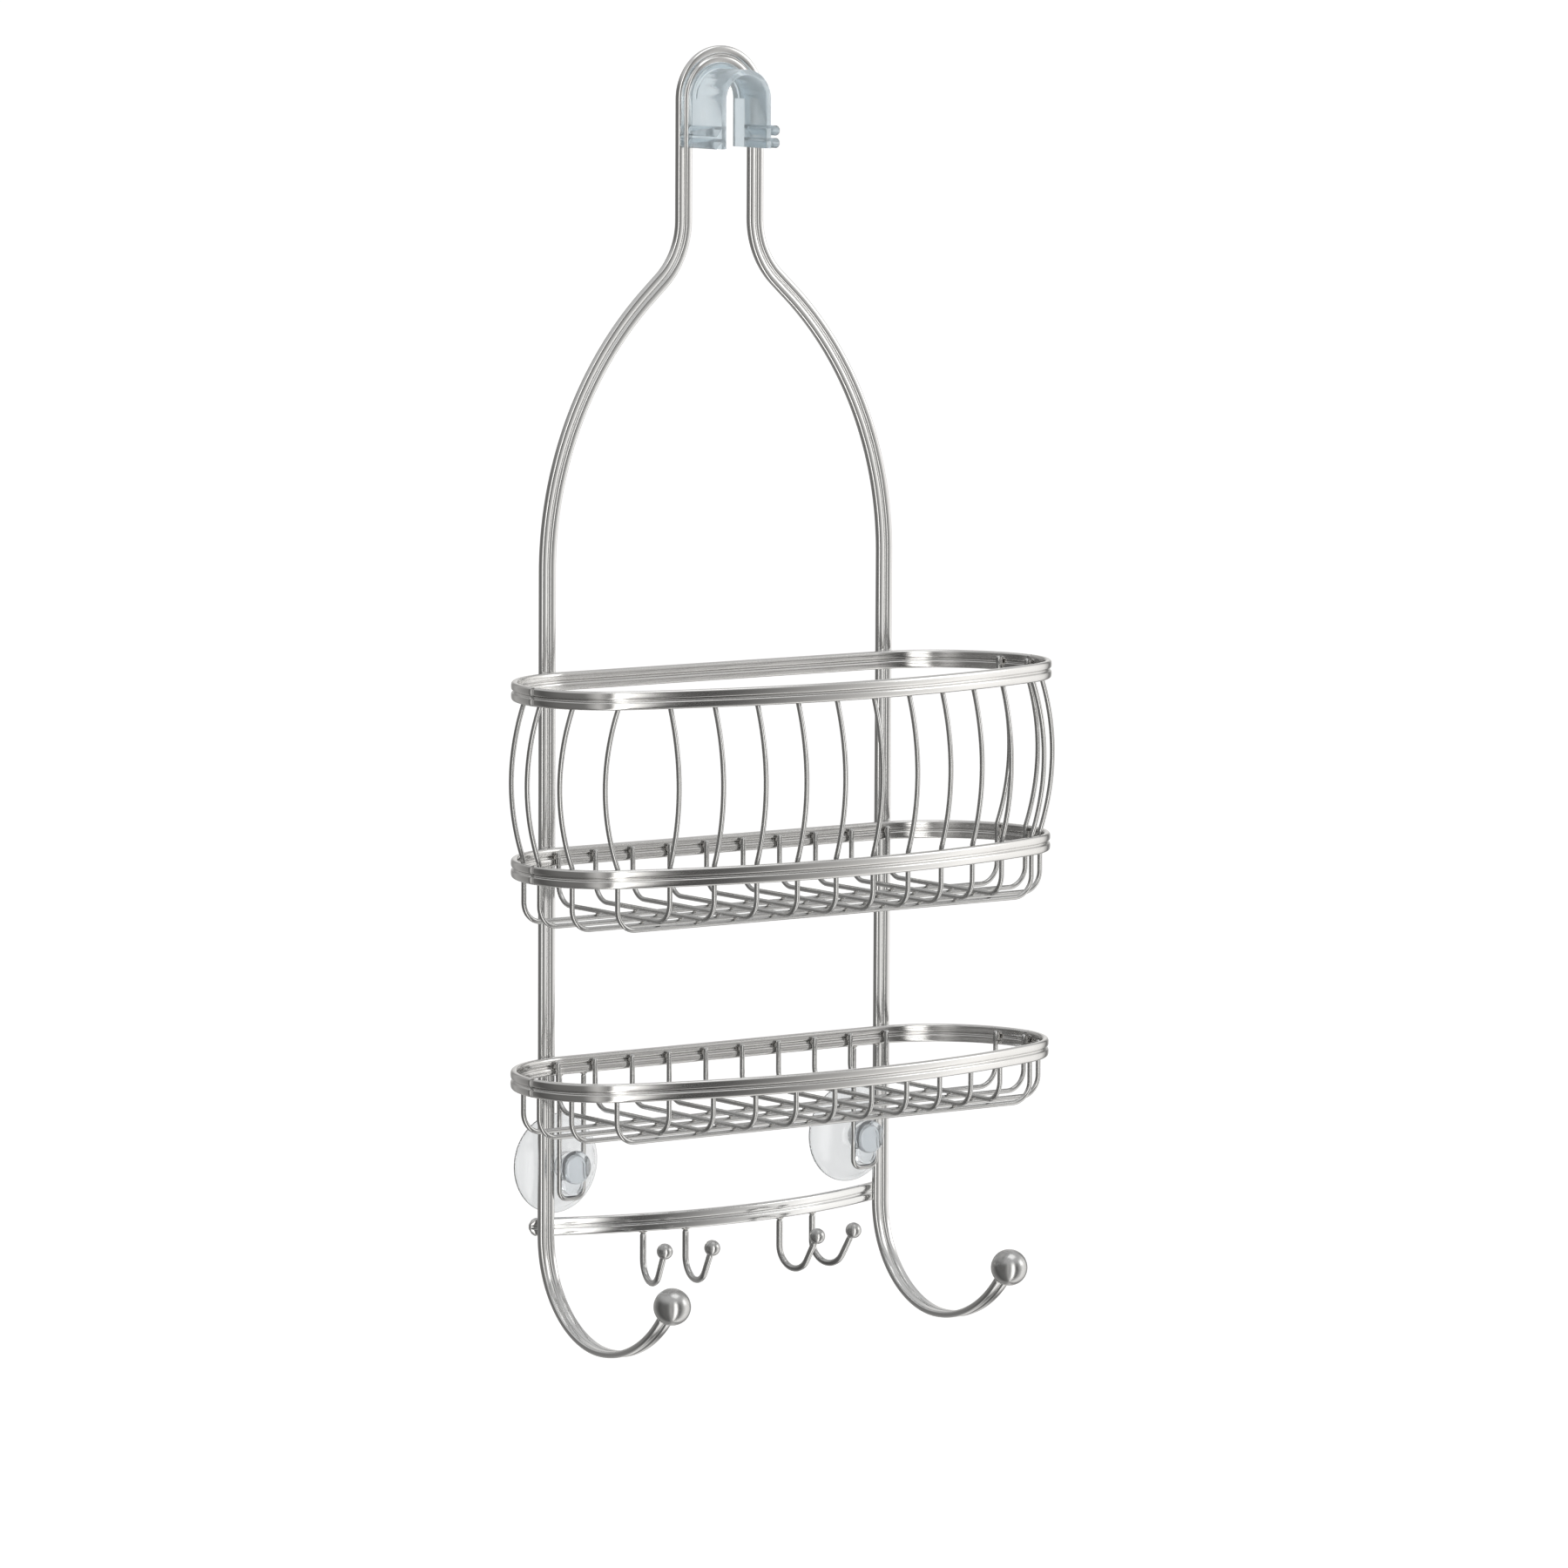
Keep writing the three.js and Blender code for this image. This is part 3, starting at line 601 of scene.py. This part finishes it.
def side_edge(y):
    """X of the wires' line along the right end: back corner, straight, or front corner."""
    if y > back_y:
        return back_x + math.sqrt((BACK_CORNER - INSET) ** 2 - (y - back_y) ** 2)
    if y > corner_y:
        return RIM_HALF - INSET
    return corner_x + math.sqrt((FRONT_CORNER - INSET) ** 2 - (y - corner_y) ** 2)


def leg(upper, lower):
    """Height and outward bulge down a wall: 4 b s (1 - s) between the rims, none beside them."""
    if upper == lower:
        return np.array([[upper + STUB, 0.0], [upper - RIM_HEIGHT, 0.0]])
    s = np.linspace(0, 1, 33)
    high, low = upper - RIM_HEIGHT / 2, lower + RIM_HEIGHT / 2
    bowed = np.stack([high + (low - high) * s, 4 * BULGE * s * (1 - s)], 1)
    return np.vstack([[upper + STUB, 0.0], bowed])


def cross_route(x, upper, lower, floor):
    """Down the front, back along the floor and up to the lower rim."""
    wall = leg(upper, lower)
    front, back = front_edge(x), rear_edge(x)
    down = np.stack([np.full(len(wall), x), front - wall[:, 1], wall[:, 0]], 1)
    foot = rounded([down[-1], (x, front, floor), (x, back, floor), (x, back, lower + STUB)], FLOOR_BEND)
    return joined(down, foot)


def length_route(y, upper, lower, floor):
    """Down one end, along under the crosswise wires and up the other end."""
    wall = leg(upper, lower)
    side, under = side_edge(y), floor - WIRE - TOUCH
    right_leg = np.stack([side + wall[:, 1], np.full(len(wall), y), wall[:, 0]], 1)
    left_leg = right_leg * mirror
    foot = rounded([left_leg[-1], (-side, y, under), (side, y, under), right_leg[-1]], FLOOR_BEND)
    return joined(left_leg, foot, right_leg[::-1])


# %% [markdown]
# A wire could be a curve with a round bevel, but its ends would be flat discs. Carried as rings, it
# closes with a few that shrink, so its ends are rounded. Fourteen sides are enough for a wire that is
# only 2 to 3 mm across.

# %% Bend the wires
def round_section(diameter, sides=14):
    """A circle of points."""
    t = np.linspace(0, 2 * math.pi, sides, endpoint=False)
    return np.stack([np.cos(t), np.sin(t)], 1) * diameter / 2


def wire(node, route, normal, diameter, finish):
    """A round wire with rounded ends that stands for its CAD node."""
    places, scale = ends_rounded(route, diameter / 2)
    made = sweep(f"{node}_round", round_section(diameter), places, normal, scale=scale[:, None])
    return settle(made, FRAME_BODY, node, finish)


cross_places = [(k - (CROSS_COUNT - 1) / 2) * WIRE_PITCH for k in range(CROSS_COUNT)]
side_places = [-share * RIM_FRONT for share in SIDE_SHARES]
top, lower, shelf = rim_levels.values()
baskets = (("basket", top, lower, lower - BASKET_FLOOR), ("shelf", shelf, shelf, shelf - SHELF_FLOOR))
for label, high_rim, low_rim, floor in baskets:
    for k, x in enumerate(cross_places, 1):
        route = cross_route(x, high_rim, low_rim, floor)
        wire(f"{label}_cross_wire_{k}", route, X, WIRE, wire_finish)
    for k, y in enumerate(side_places, 1):
        route = length_route(y, high_rim, low_rim, floor)
        wire(f"{label}_length_wire_{k}", route, Y, WIRE, wire_finish)
print("wires:", 2 * (len(cross_places) + len(side_places)), "pieces")

# %% [markdown]
# ## The hook rail and its small hooks
# The same bar stands on edge here and bows away from the wall. Its two ends pass behind the rails and
# are rounded off, which the sweep does by shrinking the thickness there. Four wire hooks hang below it.

# %% Hook rail
RAIL_BOW = 213.0
RAIL_Z = -497.0
END_ROUNDING = 3.4
END_NARROWING = 0.97
pass_turn = math.asin((RAIL_HALF - BAR_WIDTH / 2) / RAIL_BOW)
end_turn = math.degrees(math.asin((RAIL_HALF + BAR_WIDTH / 2) / RAIL_BOW))
pass_y = BAR_THICKNESS / 2 + TOUCH + BAR_THICKNESS / 2 / math.cos(pass_turn)
rail_y = pass_y + RAIL_BOW * math.cos(pass_turn)


def rail_point(degrees):
    """A point of the bow, at an angle from its middle."""
    t = math.radians(degrees)
    return np.array([RAIL_BOW * math.sin(t), rail_y - RAIL_BOW * math.cos(t), RAIL_Z])


rail_route = arc((0, rail_y, RAIL_Z), rail_point(-end_turn), Z, 2 * end_turn)
run = np.r_[0, np.cumsum(np.linalg.norm(np.diff(rail_route, axis=0), axis=1))]
from_end = np.minimum(run, run[-1] - run)
rounding = np.sqrt(1 - np.clip(1 - from_end / END_ROUNDING, 0, END_NARROWING) ** 2)
rail_scale = np.stack([np.ones(len(rounding)), rounding], 1)
hook_rail = sweep("hook_rail_bar", standing_bar, rail_route, Z, scale=rail_scale)
settle(hook_rail, FRAME_BODY, "hook_rail", bar_finish)
print("hook rail reaches", rail_route[:, 1].min().round(1), "to", rail_route[:, 1].max().round(1), "mm in Y")

# %% [markdown]
# A small hook is a straight shank, one bend and a straight tip with a ball on it. The shank starts under
# the rail and the hook points straight out from the bow, so each is turned a little differently.

# %% Small hooks
SMALL_WIRE = 2.8
SHANK = 11.5
SMALL_BEND = 9.5
SMALL_RISE = 60.0
SMALL_TAIL = 9.3
SMALL_BALL = 3.5
SMALL_INTO_BALL = 0.8
SMALL_SPACING = 0.6
SMALL_PLACES = (-45.5, -25.3, 25.3, 45.5)

hook_tops = []
for k, x in enumerate(SMALL_PLACES, 1):
    t = math.asin(x / RAIL_BOW)
    out = np.array([math.sin(t), -math.cos(t), 0])
    across = np.cross(out, Z)
    under_rail = rail_point(math.degrees(t)) - Z * (BAR_WIDTH / 2 + TOUCH)
    hook_tops.append(under_rail)
    bottom_of_shank = under_rail - Z * SHANK
    bend = arc(bottom_of_shank + out * SMALL_BEND, bottom_of_shank, across, 90 + SMALL_RISE, SMALL_SPACING)
    rise = math.radians(SMALL_RISE)
    tip_way = out * math.cos(rise) + Z * math.sin(rise)
    tip = bend[-1] + tip_way * (SMALL_TAIL + SMALL_INTO_BALL)
    wire(f"small_hook_{k}", joined([under_rail], bend, [tip]), across, SMALL_WIRE, hook_finish)
    centre = bend[-1] + tip_way * (SMALL_TAIL + TOUCH + SMALL_BALL)
    small_ball = ball(f"small_hook_ball_{k}_round", centre, SMALL_BALL, 20, 28)
    settle(small_ball, FRAME_BODY, f"small_hook_ball_{k}", ball_finish)
print("small hooks:", len(hook_tops))

# %% [markdown]
# ## Cup loops and suction cups
# A loop is a U of wire welded under the shelf. The cup is turned: a rounded head in front of the wire, a
# boss behind it and a wide thin disc whose lip meets the wall. A flat-sided key under the head fills
# the loop, so the cup can slide up and down but not spin.

# %% Cup loops
LOOP_HALF = 6.3
LOOP_BEND = 4.0
loop_y = RIM_BACK - BAR_THICKNESS / 2
loop_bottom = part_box("left_cup_loop")[0].z / MM + WIRE / 2
loop_top = shelf - RIM_HEIGHT / 2 - TOUCH
cup_x = (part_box("right_cup_loop")[0].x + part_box("right_cup_loop")[1].x) / 2 / MM

for label, x in (("left", -cup_x), ("right", cup_x)):
    corners = [(x + a * LOOP_HALF, loop_y, z) for a, z in
               ((-1, loop_top), (-1, loop_bottom), (1, loop_bottom), (1, loop_top))]
    wire(f"{label}_cup_loop", rounded(corners, LOOP_BEND), Y, WIRE, wire_finish)
print("loops at x", round(cup_x, 1), "bottom", round(loop_bottom, 1))

# %% [markdown]
# A moulded cup is round, so a turned profile is the natural way to make it. Cutting the profile's
# corners again and again gives the soft edges that a mould leaves. The key isn't round and is pushed
# through as an outline.

# %% Suction cups
CUP_RADIUS = 21.8
LIP = 2.0
WALL_Y = 9.0
HEAD_RADIUS = 7.3
HEAD_THICKNESS = 5.0
BOSS = 6.2
KEY_DROP = 7.6
key_half = LOOP_HALF - WIRE / 2 - TOUCH
cup_z = loop_bottom + WIRE / 2 + TOUCH + key_half + KEY_DROP
groove_front = loop_y - WIRE / 2 - TOUCH
groove_back = loop_y + WIRE / 2 + TOUCH


def eased(points, rounds=3):
    """Corner cutting: each run gives up its end quarters, again and again; the two ends stay."""
    points = np.asarray(points, float)
    for _ in range(rounds):
        first, second = points[:-1], points[1:]
        cut = np.stack([0.75 * first + 0.25 * second, 0.25 * first + 0.75 * second], 1).reshape(-1, 2)
        points = np.vstack([points[:1], cut[1:-1], points[-1:]])
    return points


def turned(name, profile, centre, around=96):
    """A profile of (radius, y) carried round the Y axis."""
    t = np.linspace(0, 2 * math.pi, around, endpoint=False)[None]
    radius, y = np.maximum(profile[:, :1], 0.02), profile[:, 1:]
    grid = np.stack([radius * np.cos(t), y + 0 * t, radius * np.sin(t)], -1)
    return skin(name, np.asarray(centre) + grid)


behind = BAR_THICKNESS / 2 + TOUCH
disc_front = [(0, groove_back), (BOSS - 0.5, groove_back), (BOSS, groove_back + 0.5), (BOSS, behind),
              (0.64 * CUP_RADIUS, WALL_Y - 5.4), (0.92 * CUP_RADIUS, WALL_Y - 2.4),
              (CUP_RADIUS, WALL_Y - 0.8), (CUP_RADIUS, WALL_Y)]
disc_back = [(CUP_RADIUS, WALL_Y), (CUP_RADIUS - LIP, WALL_Y), (0.84 * CUP_RADIUS, WALL_Y - 1.4),
             (0.55 * CUP_RADIUS, WALL_Y - 3.9), (0, behind + 2.2)]
disc_profile = np.vstack([eased(disc_front), eased(disc_back)[1:]])
head_profile = eased([
    (0, groove_front - HEAD_THICKNESS), (0.62 * HEAD_RADIUS, groove_front - HEAD_THICKNESS),
    (HEAD_RADIUS, groove_front - 0.75 * HEAD_THICKNESS), (HEAD_RADIUS, groove_front), (0, groove_front)])


def key_block(name, x, z):
    """A stadium outline pushed from the head to the boss, its front edge drawn in a little."""
    t = np.linspace(0, math.pi, 24)
    upper = np.stack([key_half * np.cos(t), key_half * np.sin(t)], 1)
    lower_end = np.stack([-key_half * np.cos(t), -KEY_DROP - key_half * np.sin(t)], 1)
    outline = np.vstack([upper, lower_end])
    middle = outline.mean(0)
    front_depths = groove_front - np.array([1.2, 1.0, 0.5])
    depths = np.r_[front_depths, groove_back + np.array([0.6, 0.9])]
    shares = np.array([0.86, 0.94, 1.0, 1.0, 0.94])
    flat = middle + (outline - middle) * shares[:, None, None]
    deep = np.broadcast_to(depths[:, None], flat.shape[:2])
    grid = np.stack([x + flat[..., 0], deep, z + flat[..., 1]], -1)
    return skin(name, grid)


for label, x in (("left", -cup_x), ("right", cup_x)):
    node = f"{label}_suction_cup"
    disc = turned(f"{label}_cup_disc", disc_profile, (x, 0, cup_z))
    head = turned(f"{label}_cup_head", head_profile, (x, 0, cup_z), 64)
    key = key_block(f"{label}_cup_key", x, cup_z)
    for piece, finish in ((disc, vinyl_finish), (head, head_finish), (key, head_finish)):
        settle(piece, f"{label}_cup", node, finish)
print("cups at z", round(cup_z, 1), "mm; lips", 2 * CUP_RADIUS, "mm across")

# %% [markdown]
# ## The arm saddle
# The saddle is a moulded hood with feet that snap over the neck. Its CAD solid already has every face,
# so a merged copy of it only needs its edges eased: a Bevel modifier does that better than a formula.

# %% Saddle
import bmesh

SADDLE_EASE = 0.45

saddle_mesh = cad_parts["arm_saddle"].data.copy()
saddle = bpy.data.objects.new("arm_saddle_moulding", saddle_mesh)
bpy.context.scene.collection.objects.link(saddle)
work = bmesh.new()
work.from_mesh(saddle_mesh)
bmesh.ops.remove_doubles(work, verts=work.verts, dist=1e-6)
bmesh.ops.dissolve_limit(work, angle_limit=math.radians(1), verts=work.verts, edges=work.edges)
work.to_mesh(saddle_mesh)
work.free()
saddle_mesh.polygons.foreach_set("use_smooth", np.ones(len(saddle_mesh.polygons), bool))
ease = saddle.modifiers.new("eased edges", "BEVEL")
ease.width = SADDLE_EASE * MM
ease.segments = 3
ease.limit_method = "ANGLE"
ease.angle_limit = math.radians(40)
ease.harden_normals = True
settle(saddle, FRAME_BODY, "arm_saddle", saddle_finish)
print("saddle:", len(saddle_mesh.polygons), "faces before easing")

# %% [markdown]
# ## Welds
# Wherever two steels meet there is a small bead. One unit ball, stretched to a bead's three radii, is
# repeated at every joint by adding an array of centres to it, so a whole basket's beads are one mesh.

# %% Weld beads
def beads(name, centres, radii, rings=8, around=12):
    """Unit sphere times radii plus each centre, all in one array; face numbers are shifted per bead."""
    t = np.linspace(0.15, math.pi - 0.15, rings)[:, None]
    turn = np.linspace(0, 2 * math.pi, around, endpoint=False)[None]
    shape = np.stack([np.sin(t) * np.cos(turn), np.sin(t) * np.sin(turn), np.cos(t) + 0 * turn], -1)
    one = shape.reshape(-1, 3) * np.asarray(radii)
    centres = np.asarray(centres, float)
    points = (centres[:, None] + one[None]).reshape(-1, 3)
    i, j = np.meshgrid(np.arange(rings - 1), np.arange(around), indexing="ij")
    beside = (j + 1) % around
    row, after = i * around, (i + 1) * around
    quad = np.stack([row + j, after + j, after + beside, row + beside], -1)
    shifts = (np.arange(len(centres)) * len(one))[:, None, None]
    quads = (quad.reshape(-1, 4)[None] + shifts).reshape(-1, 4)
    lids = np.stack([np.arange(around)[::-1], np.arange(around) + (rings - 1) * around])
    lids = (lids[None] + shifts).reshape(-1, around)
    made = new_object(name, points, quads.tolist() + lids.tolist())
    made.data.materials.append(weld_finish)
    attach(made, FRAME_BODY)
    return made


front_welds = [(x, front_edge(x) - WIRE / 2 - TOUCH / 2, z)
               for x in cross_places for z in rim_levels.values()]
back_welds = [(x, rear_edge(x) + WIRE / 2 + TOUCH / 2, z) for x in cross_places for z in (lower, shelf)]
end_welds = [(s * (side_edge(y) + WIRE / 2 + TOUCH / 2), y, z)
             for s in (-1, 1) for y in side_places for z in rim_levels.values()]
rail_welds = [(s * RAIL_HALF, RIM_BACK + TOUCH / 2, z) for s in (-1, 1) for z in rim_levels.values()]
crossing = [(x, y, floor - WIRE / 2 - TOUCH / 2) for _, _, _, floor in baskets
            for x in cross_places for y in side_places if y > front_edge(x) + FLOOR_BEND + 1]
loop_welds = [(s * cup_x + a * LOOP_HALF, loop_y, loop_top + TOUCH / 2) for s in (-1, 1) for a in (-1, 1)]
hook_welds = [p + Z * TOUCH / 2 for p in hook_tops]
weld_groups = (
    ("front_welds", front_welds, (1.2, 0.5, 1.9)),
    ("back_welds", back_welds, (1.1, 0.4, 1.2)),
    ("end_welds", end_welds, (0.5, 1.2, 1.9)),
    ("rail_welds", rail_welds, (3.0, 0.45, 3.0)),
    ("floor_welds", crossing, (0.95, 0.95, 0.5)),
    ("hook_welds", hook_welds, (1.9, 1.45, 0.5)),
    ("loop_welds", loop_welds, (1.6, 1.35, 0.55)),
)
for label, centres, radii in weld_groups:
    beads(label, centres, radii)
print("weld beads:", sum(len(centres) for _, centres, _ in weld_groups))

# %% [markdown]
# ## Room and light
# A pale floor lies well below the caddy, wide enough to fill the view. Steel shows its surroundings
# more than itself, so the light is a ring of soft panels painted into the world: brighter and darker
# stretches of wall, read by azimuth, and a pale ceiling. Seen from slightly above, upright steel
# mirrors what lies below the horizon, so the floor lets mirrored rays through to the panels.

# %% Floor
FLOOR_DROP = 1.2
FLOOR_GLOW = 0.5
FLOOR_REACH = 60.0
floor_points = np.array([(-1, -1), (1, -1), (1, 1), (-1, 1)]) * FLOOR_REACH / MM
floor_points = np.column_stack([floor_points, np.full(4, -FLOOR_DROP / MM)])
studio_floor = new_object("studio_floor", floor_points, [[0, 1, 2, 3]])
floor_paint = bpy.data.materials.new("Pale floor")
floor_paint.use_nodes = True
floor_shader = floor_paint.node_tree.nodes["Principled BSDF"]
floor_shader.inputs["Base Color"].default_value = (0.8, 0.8, 0.8, 1)
floor_shader.inputs["Roughness"].default_value = 0.9
floor_shader.inputs["Emission Color"].default_value = (1, 1, 1, 1)
seen = floor_paint.node_tree.nodes.new("ShaderNodeLightPath")
direct = floor_paint.node_tree.nodes.new("ShaderNodeMath")
direct.operation = "MAXIMUM"
glow = floor_paint.node_tree.nodes.new("ShaderNodeMath")
glow.operation = "MULTIPLY"
glow.inputs[1].default_value = FLOOR_GLOW
floor_paint.node_tree.links.new(seen.outputs["Is Camera Ray"], direct.inputs[0])
floor_paint.node_tree.links.new(seen.outputs["Is Transmission Ray"], direct.inputs[1])
floor_paint.node_tree.links.new(direct.outputs[0], glow.inputs[0])
floor_paint.node_tree.links.new(glow.outputs[0], floor_shader.inputs["Emission Strength"])
clear_floor = floor_paint.node_tree.nodes.new("ShaderNodeBsdfTransparent")
unless_mirrored = floor_paint.node_tree.nodes.new("ShaderNodeMixShader")
floor_paint.node_tree.links.new(seen.outputs["Is Glossy Ray"], unless_mirrored.inputs[0])
floor_paint.node_tree.links.new(floor_shader.outputs[0], unless_mirrored.inputs[1])
floor_paint.node_tree.links.new(clear_floor.outputs[0], unless_mirrored.inputs[2])
floor_surface = floor_paint.node_tree.nodes["Material Output"].inputs["Surface"]
floor_paint.node_tree.links.new(unless_mirrored.outputs[0], floor_surface)
studio_floor.data.materials.append(floor_paint)
studio_floor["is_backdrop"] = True
print("floor", FLOOR_DROP, "m below the seat")

# %% [markdown]
# Large bright panels with dark gaps between them let each rib of the steel carry light lines and dark
# ones. Each panel could be a lamp, but a ramp over the azimuth paints them all into the world, where
# one list says how bright each stretch is.

# %% World
AZIMUTH_STOPS = (
    (-180, 0.5), (-150, 0.3), (-125, 0.12), (-95, 0.2), (-60, 0.22), (-42, 0.75),
    (-26, 0.2), (-16, 3.0), (-6, 3.0), (2, 0.04), (14, 0.14), (36, 0.65),
    (60, 1.5), (95, 1.1), (115, 0.15), (140, 0.9), (165, 0.3), (180, 0.5),
)
WARM = (1.0, 0.988, 0.97)
CEILING = 0.7
BACKDROP = 0.95


def studio_world():
    """Brightness by azimuth from the stops, pale overhead, and one plain colour for the camera and for
    what is seen through the plastics."""
    world = bpy.data.worlds.new("Studio")
    world.use_nodes = True
    nodes, links = world.node_tree.nodes, world.node_tree.links
    paint = nodes["Background"]
    place = nodes.new("ShaderNodeTexCoord")
    split = nodes.new("ShaderNodeSeparateXYZ")
    links.new(place.outputs["Generated"], split.inputs[0])
    ahead = nodes.new("ShaderNodeMath")
    ahead.operation = "MULTIPLY"
    ahead.inputs[1].default_value = -1.0
    links.new(split.outputs["Y"], ahead.inputs[0])
    azimuth = nodes.new("ShaderNodeMath")
    azimuth.operation = "ARCTAN2"
    links.new(split.outputs["X"], azimuth.inputs[0])
    links.new(ahead.outputs[0], azimuth.inputs[1])
    share = nodes.new("ShaderNodeMapRange")
    share.inputs["From Min"].default_value = -math.pi
    share.inputs["From Max"].default_value = math.pi
    links.new(azimuth.outputs[0], share.inputs["Value"])
    ramp = nodes.new("ShaderNodeValToRGB")
    elements = ramp.color_ramp.elements
    for _ in range(len(AZIMUTH_STOPS) - 2):
        elements.new(0.5)
    for element, (degrees, level) in zip(elements, AZIMUTH_STOPS):
        element.position = (degrees + 180) / 360
        element.color = (*(level * tone for tone in WARM), 1)
    links.new(share.outputs["Result"], ramp.inputs["Fac"])
    ceiling = nodes.new("ShaderNodeMapRange")
    ceiling.interpolation_type = "SMOOTHSTEP"
    ceiling.inputs["From Min"].default_value = 0.25
    ceiling.inputs["From Max"].default_value = 0.75
    links.new(split.outputs["Z"], ceiling.inputs["Value"])
    lifted = nodes.new("ShaderNodeMix")
    lifted.data_type = "RGBA"
    lifted.inputs["B"].default_value = (CEILING, CEILING, CEILING, 1)
    links.new(ceiling.outputs["Result"], lifted.inputs["Factor"])
    links.new(ramp.outputs["Color"], lifted.inputs["A"])
    ray = nodes.new("ShaderNodeLightPath")
    shown = nodes.new("ShaderNodeMix")
    shown.data_type = "RGBA"
    shown.inputs["B"].default_value = (BACKDROP, BACKDROP, BACKDROP, 1)
    direct = nodes.new("ShaderNodeMath")
    direct.operation = "MAXIMUM"
    links.new(ray.outputs["Is Camera Ray"], direct.inputs[0])
    links.new(ray.outputs["Is Transmission Ray"], direct.inputs[1])
    links.new(direct.outputs[0], shown.inputs["Factor"])
    links.new(lifted.outputs["Result"], shown.inputs["A"])
    links.new(shown.outputs["Result"], paint.inputs["Color"])
    return world


bpy.context.scene.world = studio_world()
bpy.context.scene.view_settings.view_transform = "Standard"
print("world:", len(AZIMUTH_STOPS), "stops round the room")

# %% [markdown]
# Two area lamps add a little direct light to that of the world, one from overhead and one from the
# right.

# %% Soft lamps
def soft_lamp(name, place, aim, size, power):
    """A square panel that looks at a point."""
    data = bpy.data.lights.new(name, "AREA")
    data.size = size
    data.energy = power
    lamp = bpy.data.objects.new(name, data)
    lamp.location = place
    lamp.rotation_mode = "QUATERNION"
    lamp.rotation_quaternion = (Vector(aim) - Vector(place)).to_track_quat("-Z", "Y")
    bpy.context.scene.collection.objects.link(lamp)
    return lamp


soft_lamp("overhead_panel", (0.3, -0.6, 1.8), view_target, size=1.4, power=6)
soft_lamp("right_panel", (1.9, -1.4, 0.4), view_target, size=1.0, power=4)

# %% [markdown]
# Last, the box round every piece that renders, the floor left out, is measured. The visual
# model may not outgrow the CAD model.

# %% Sizes, and the end
bpy.context.view_layer.update()
low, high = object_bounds()
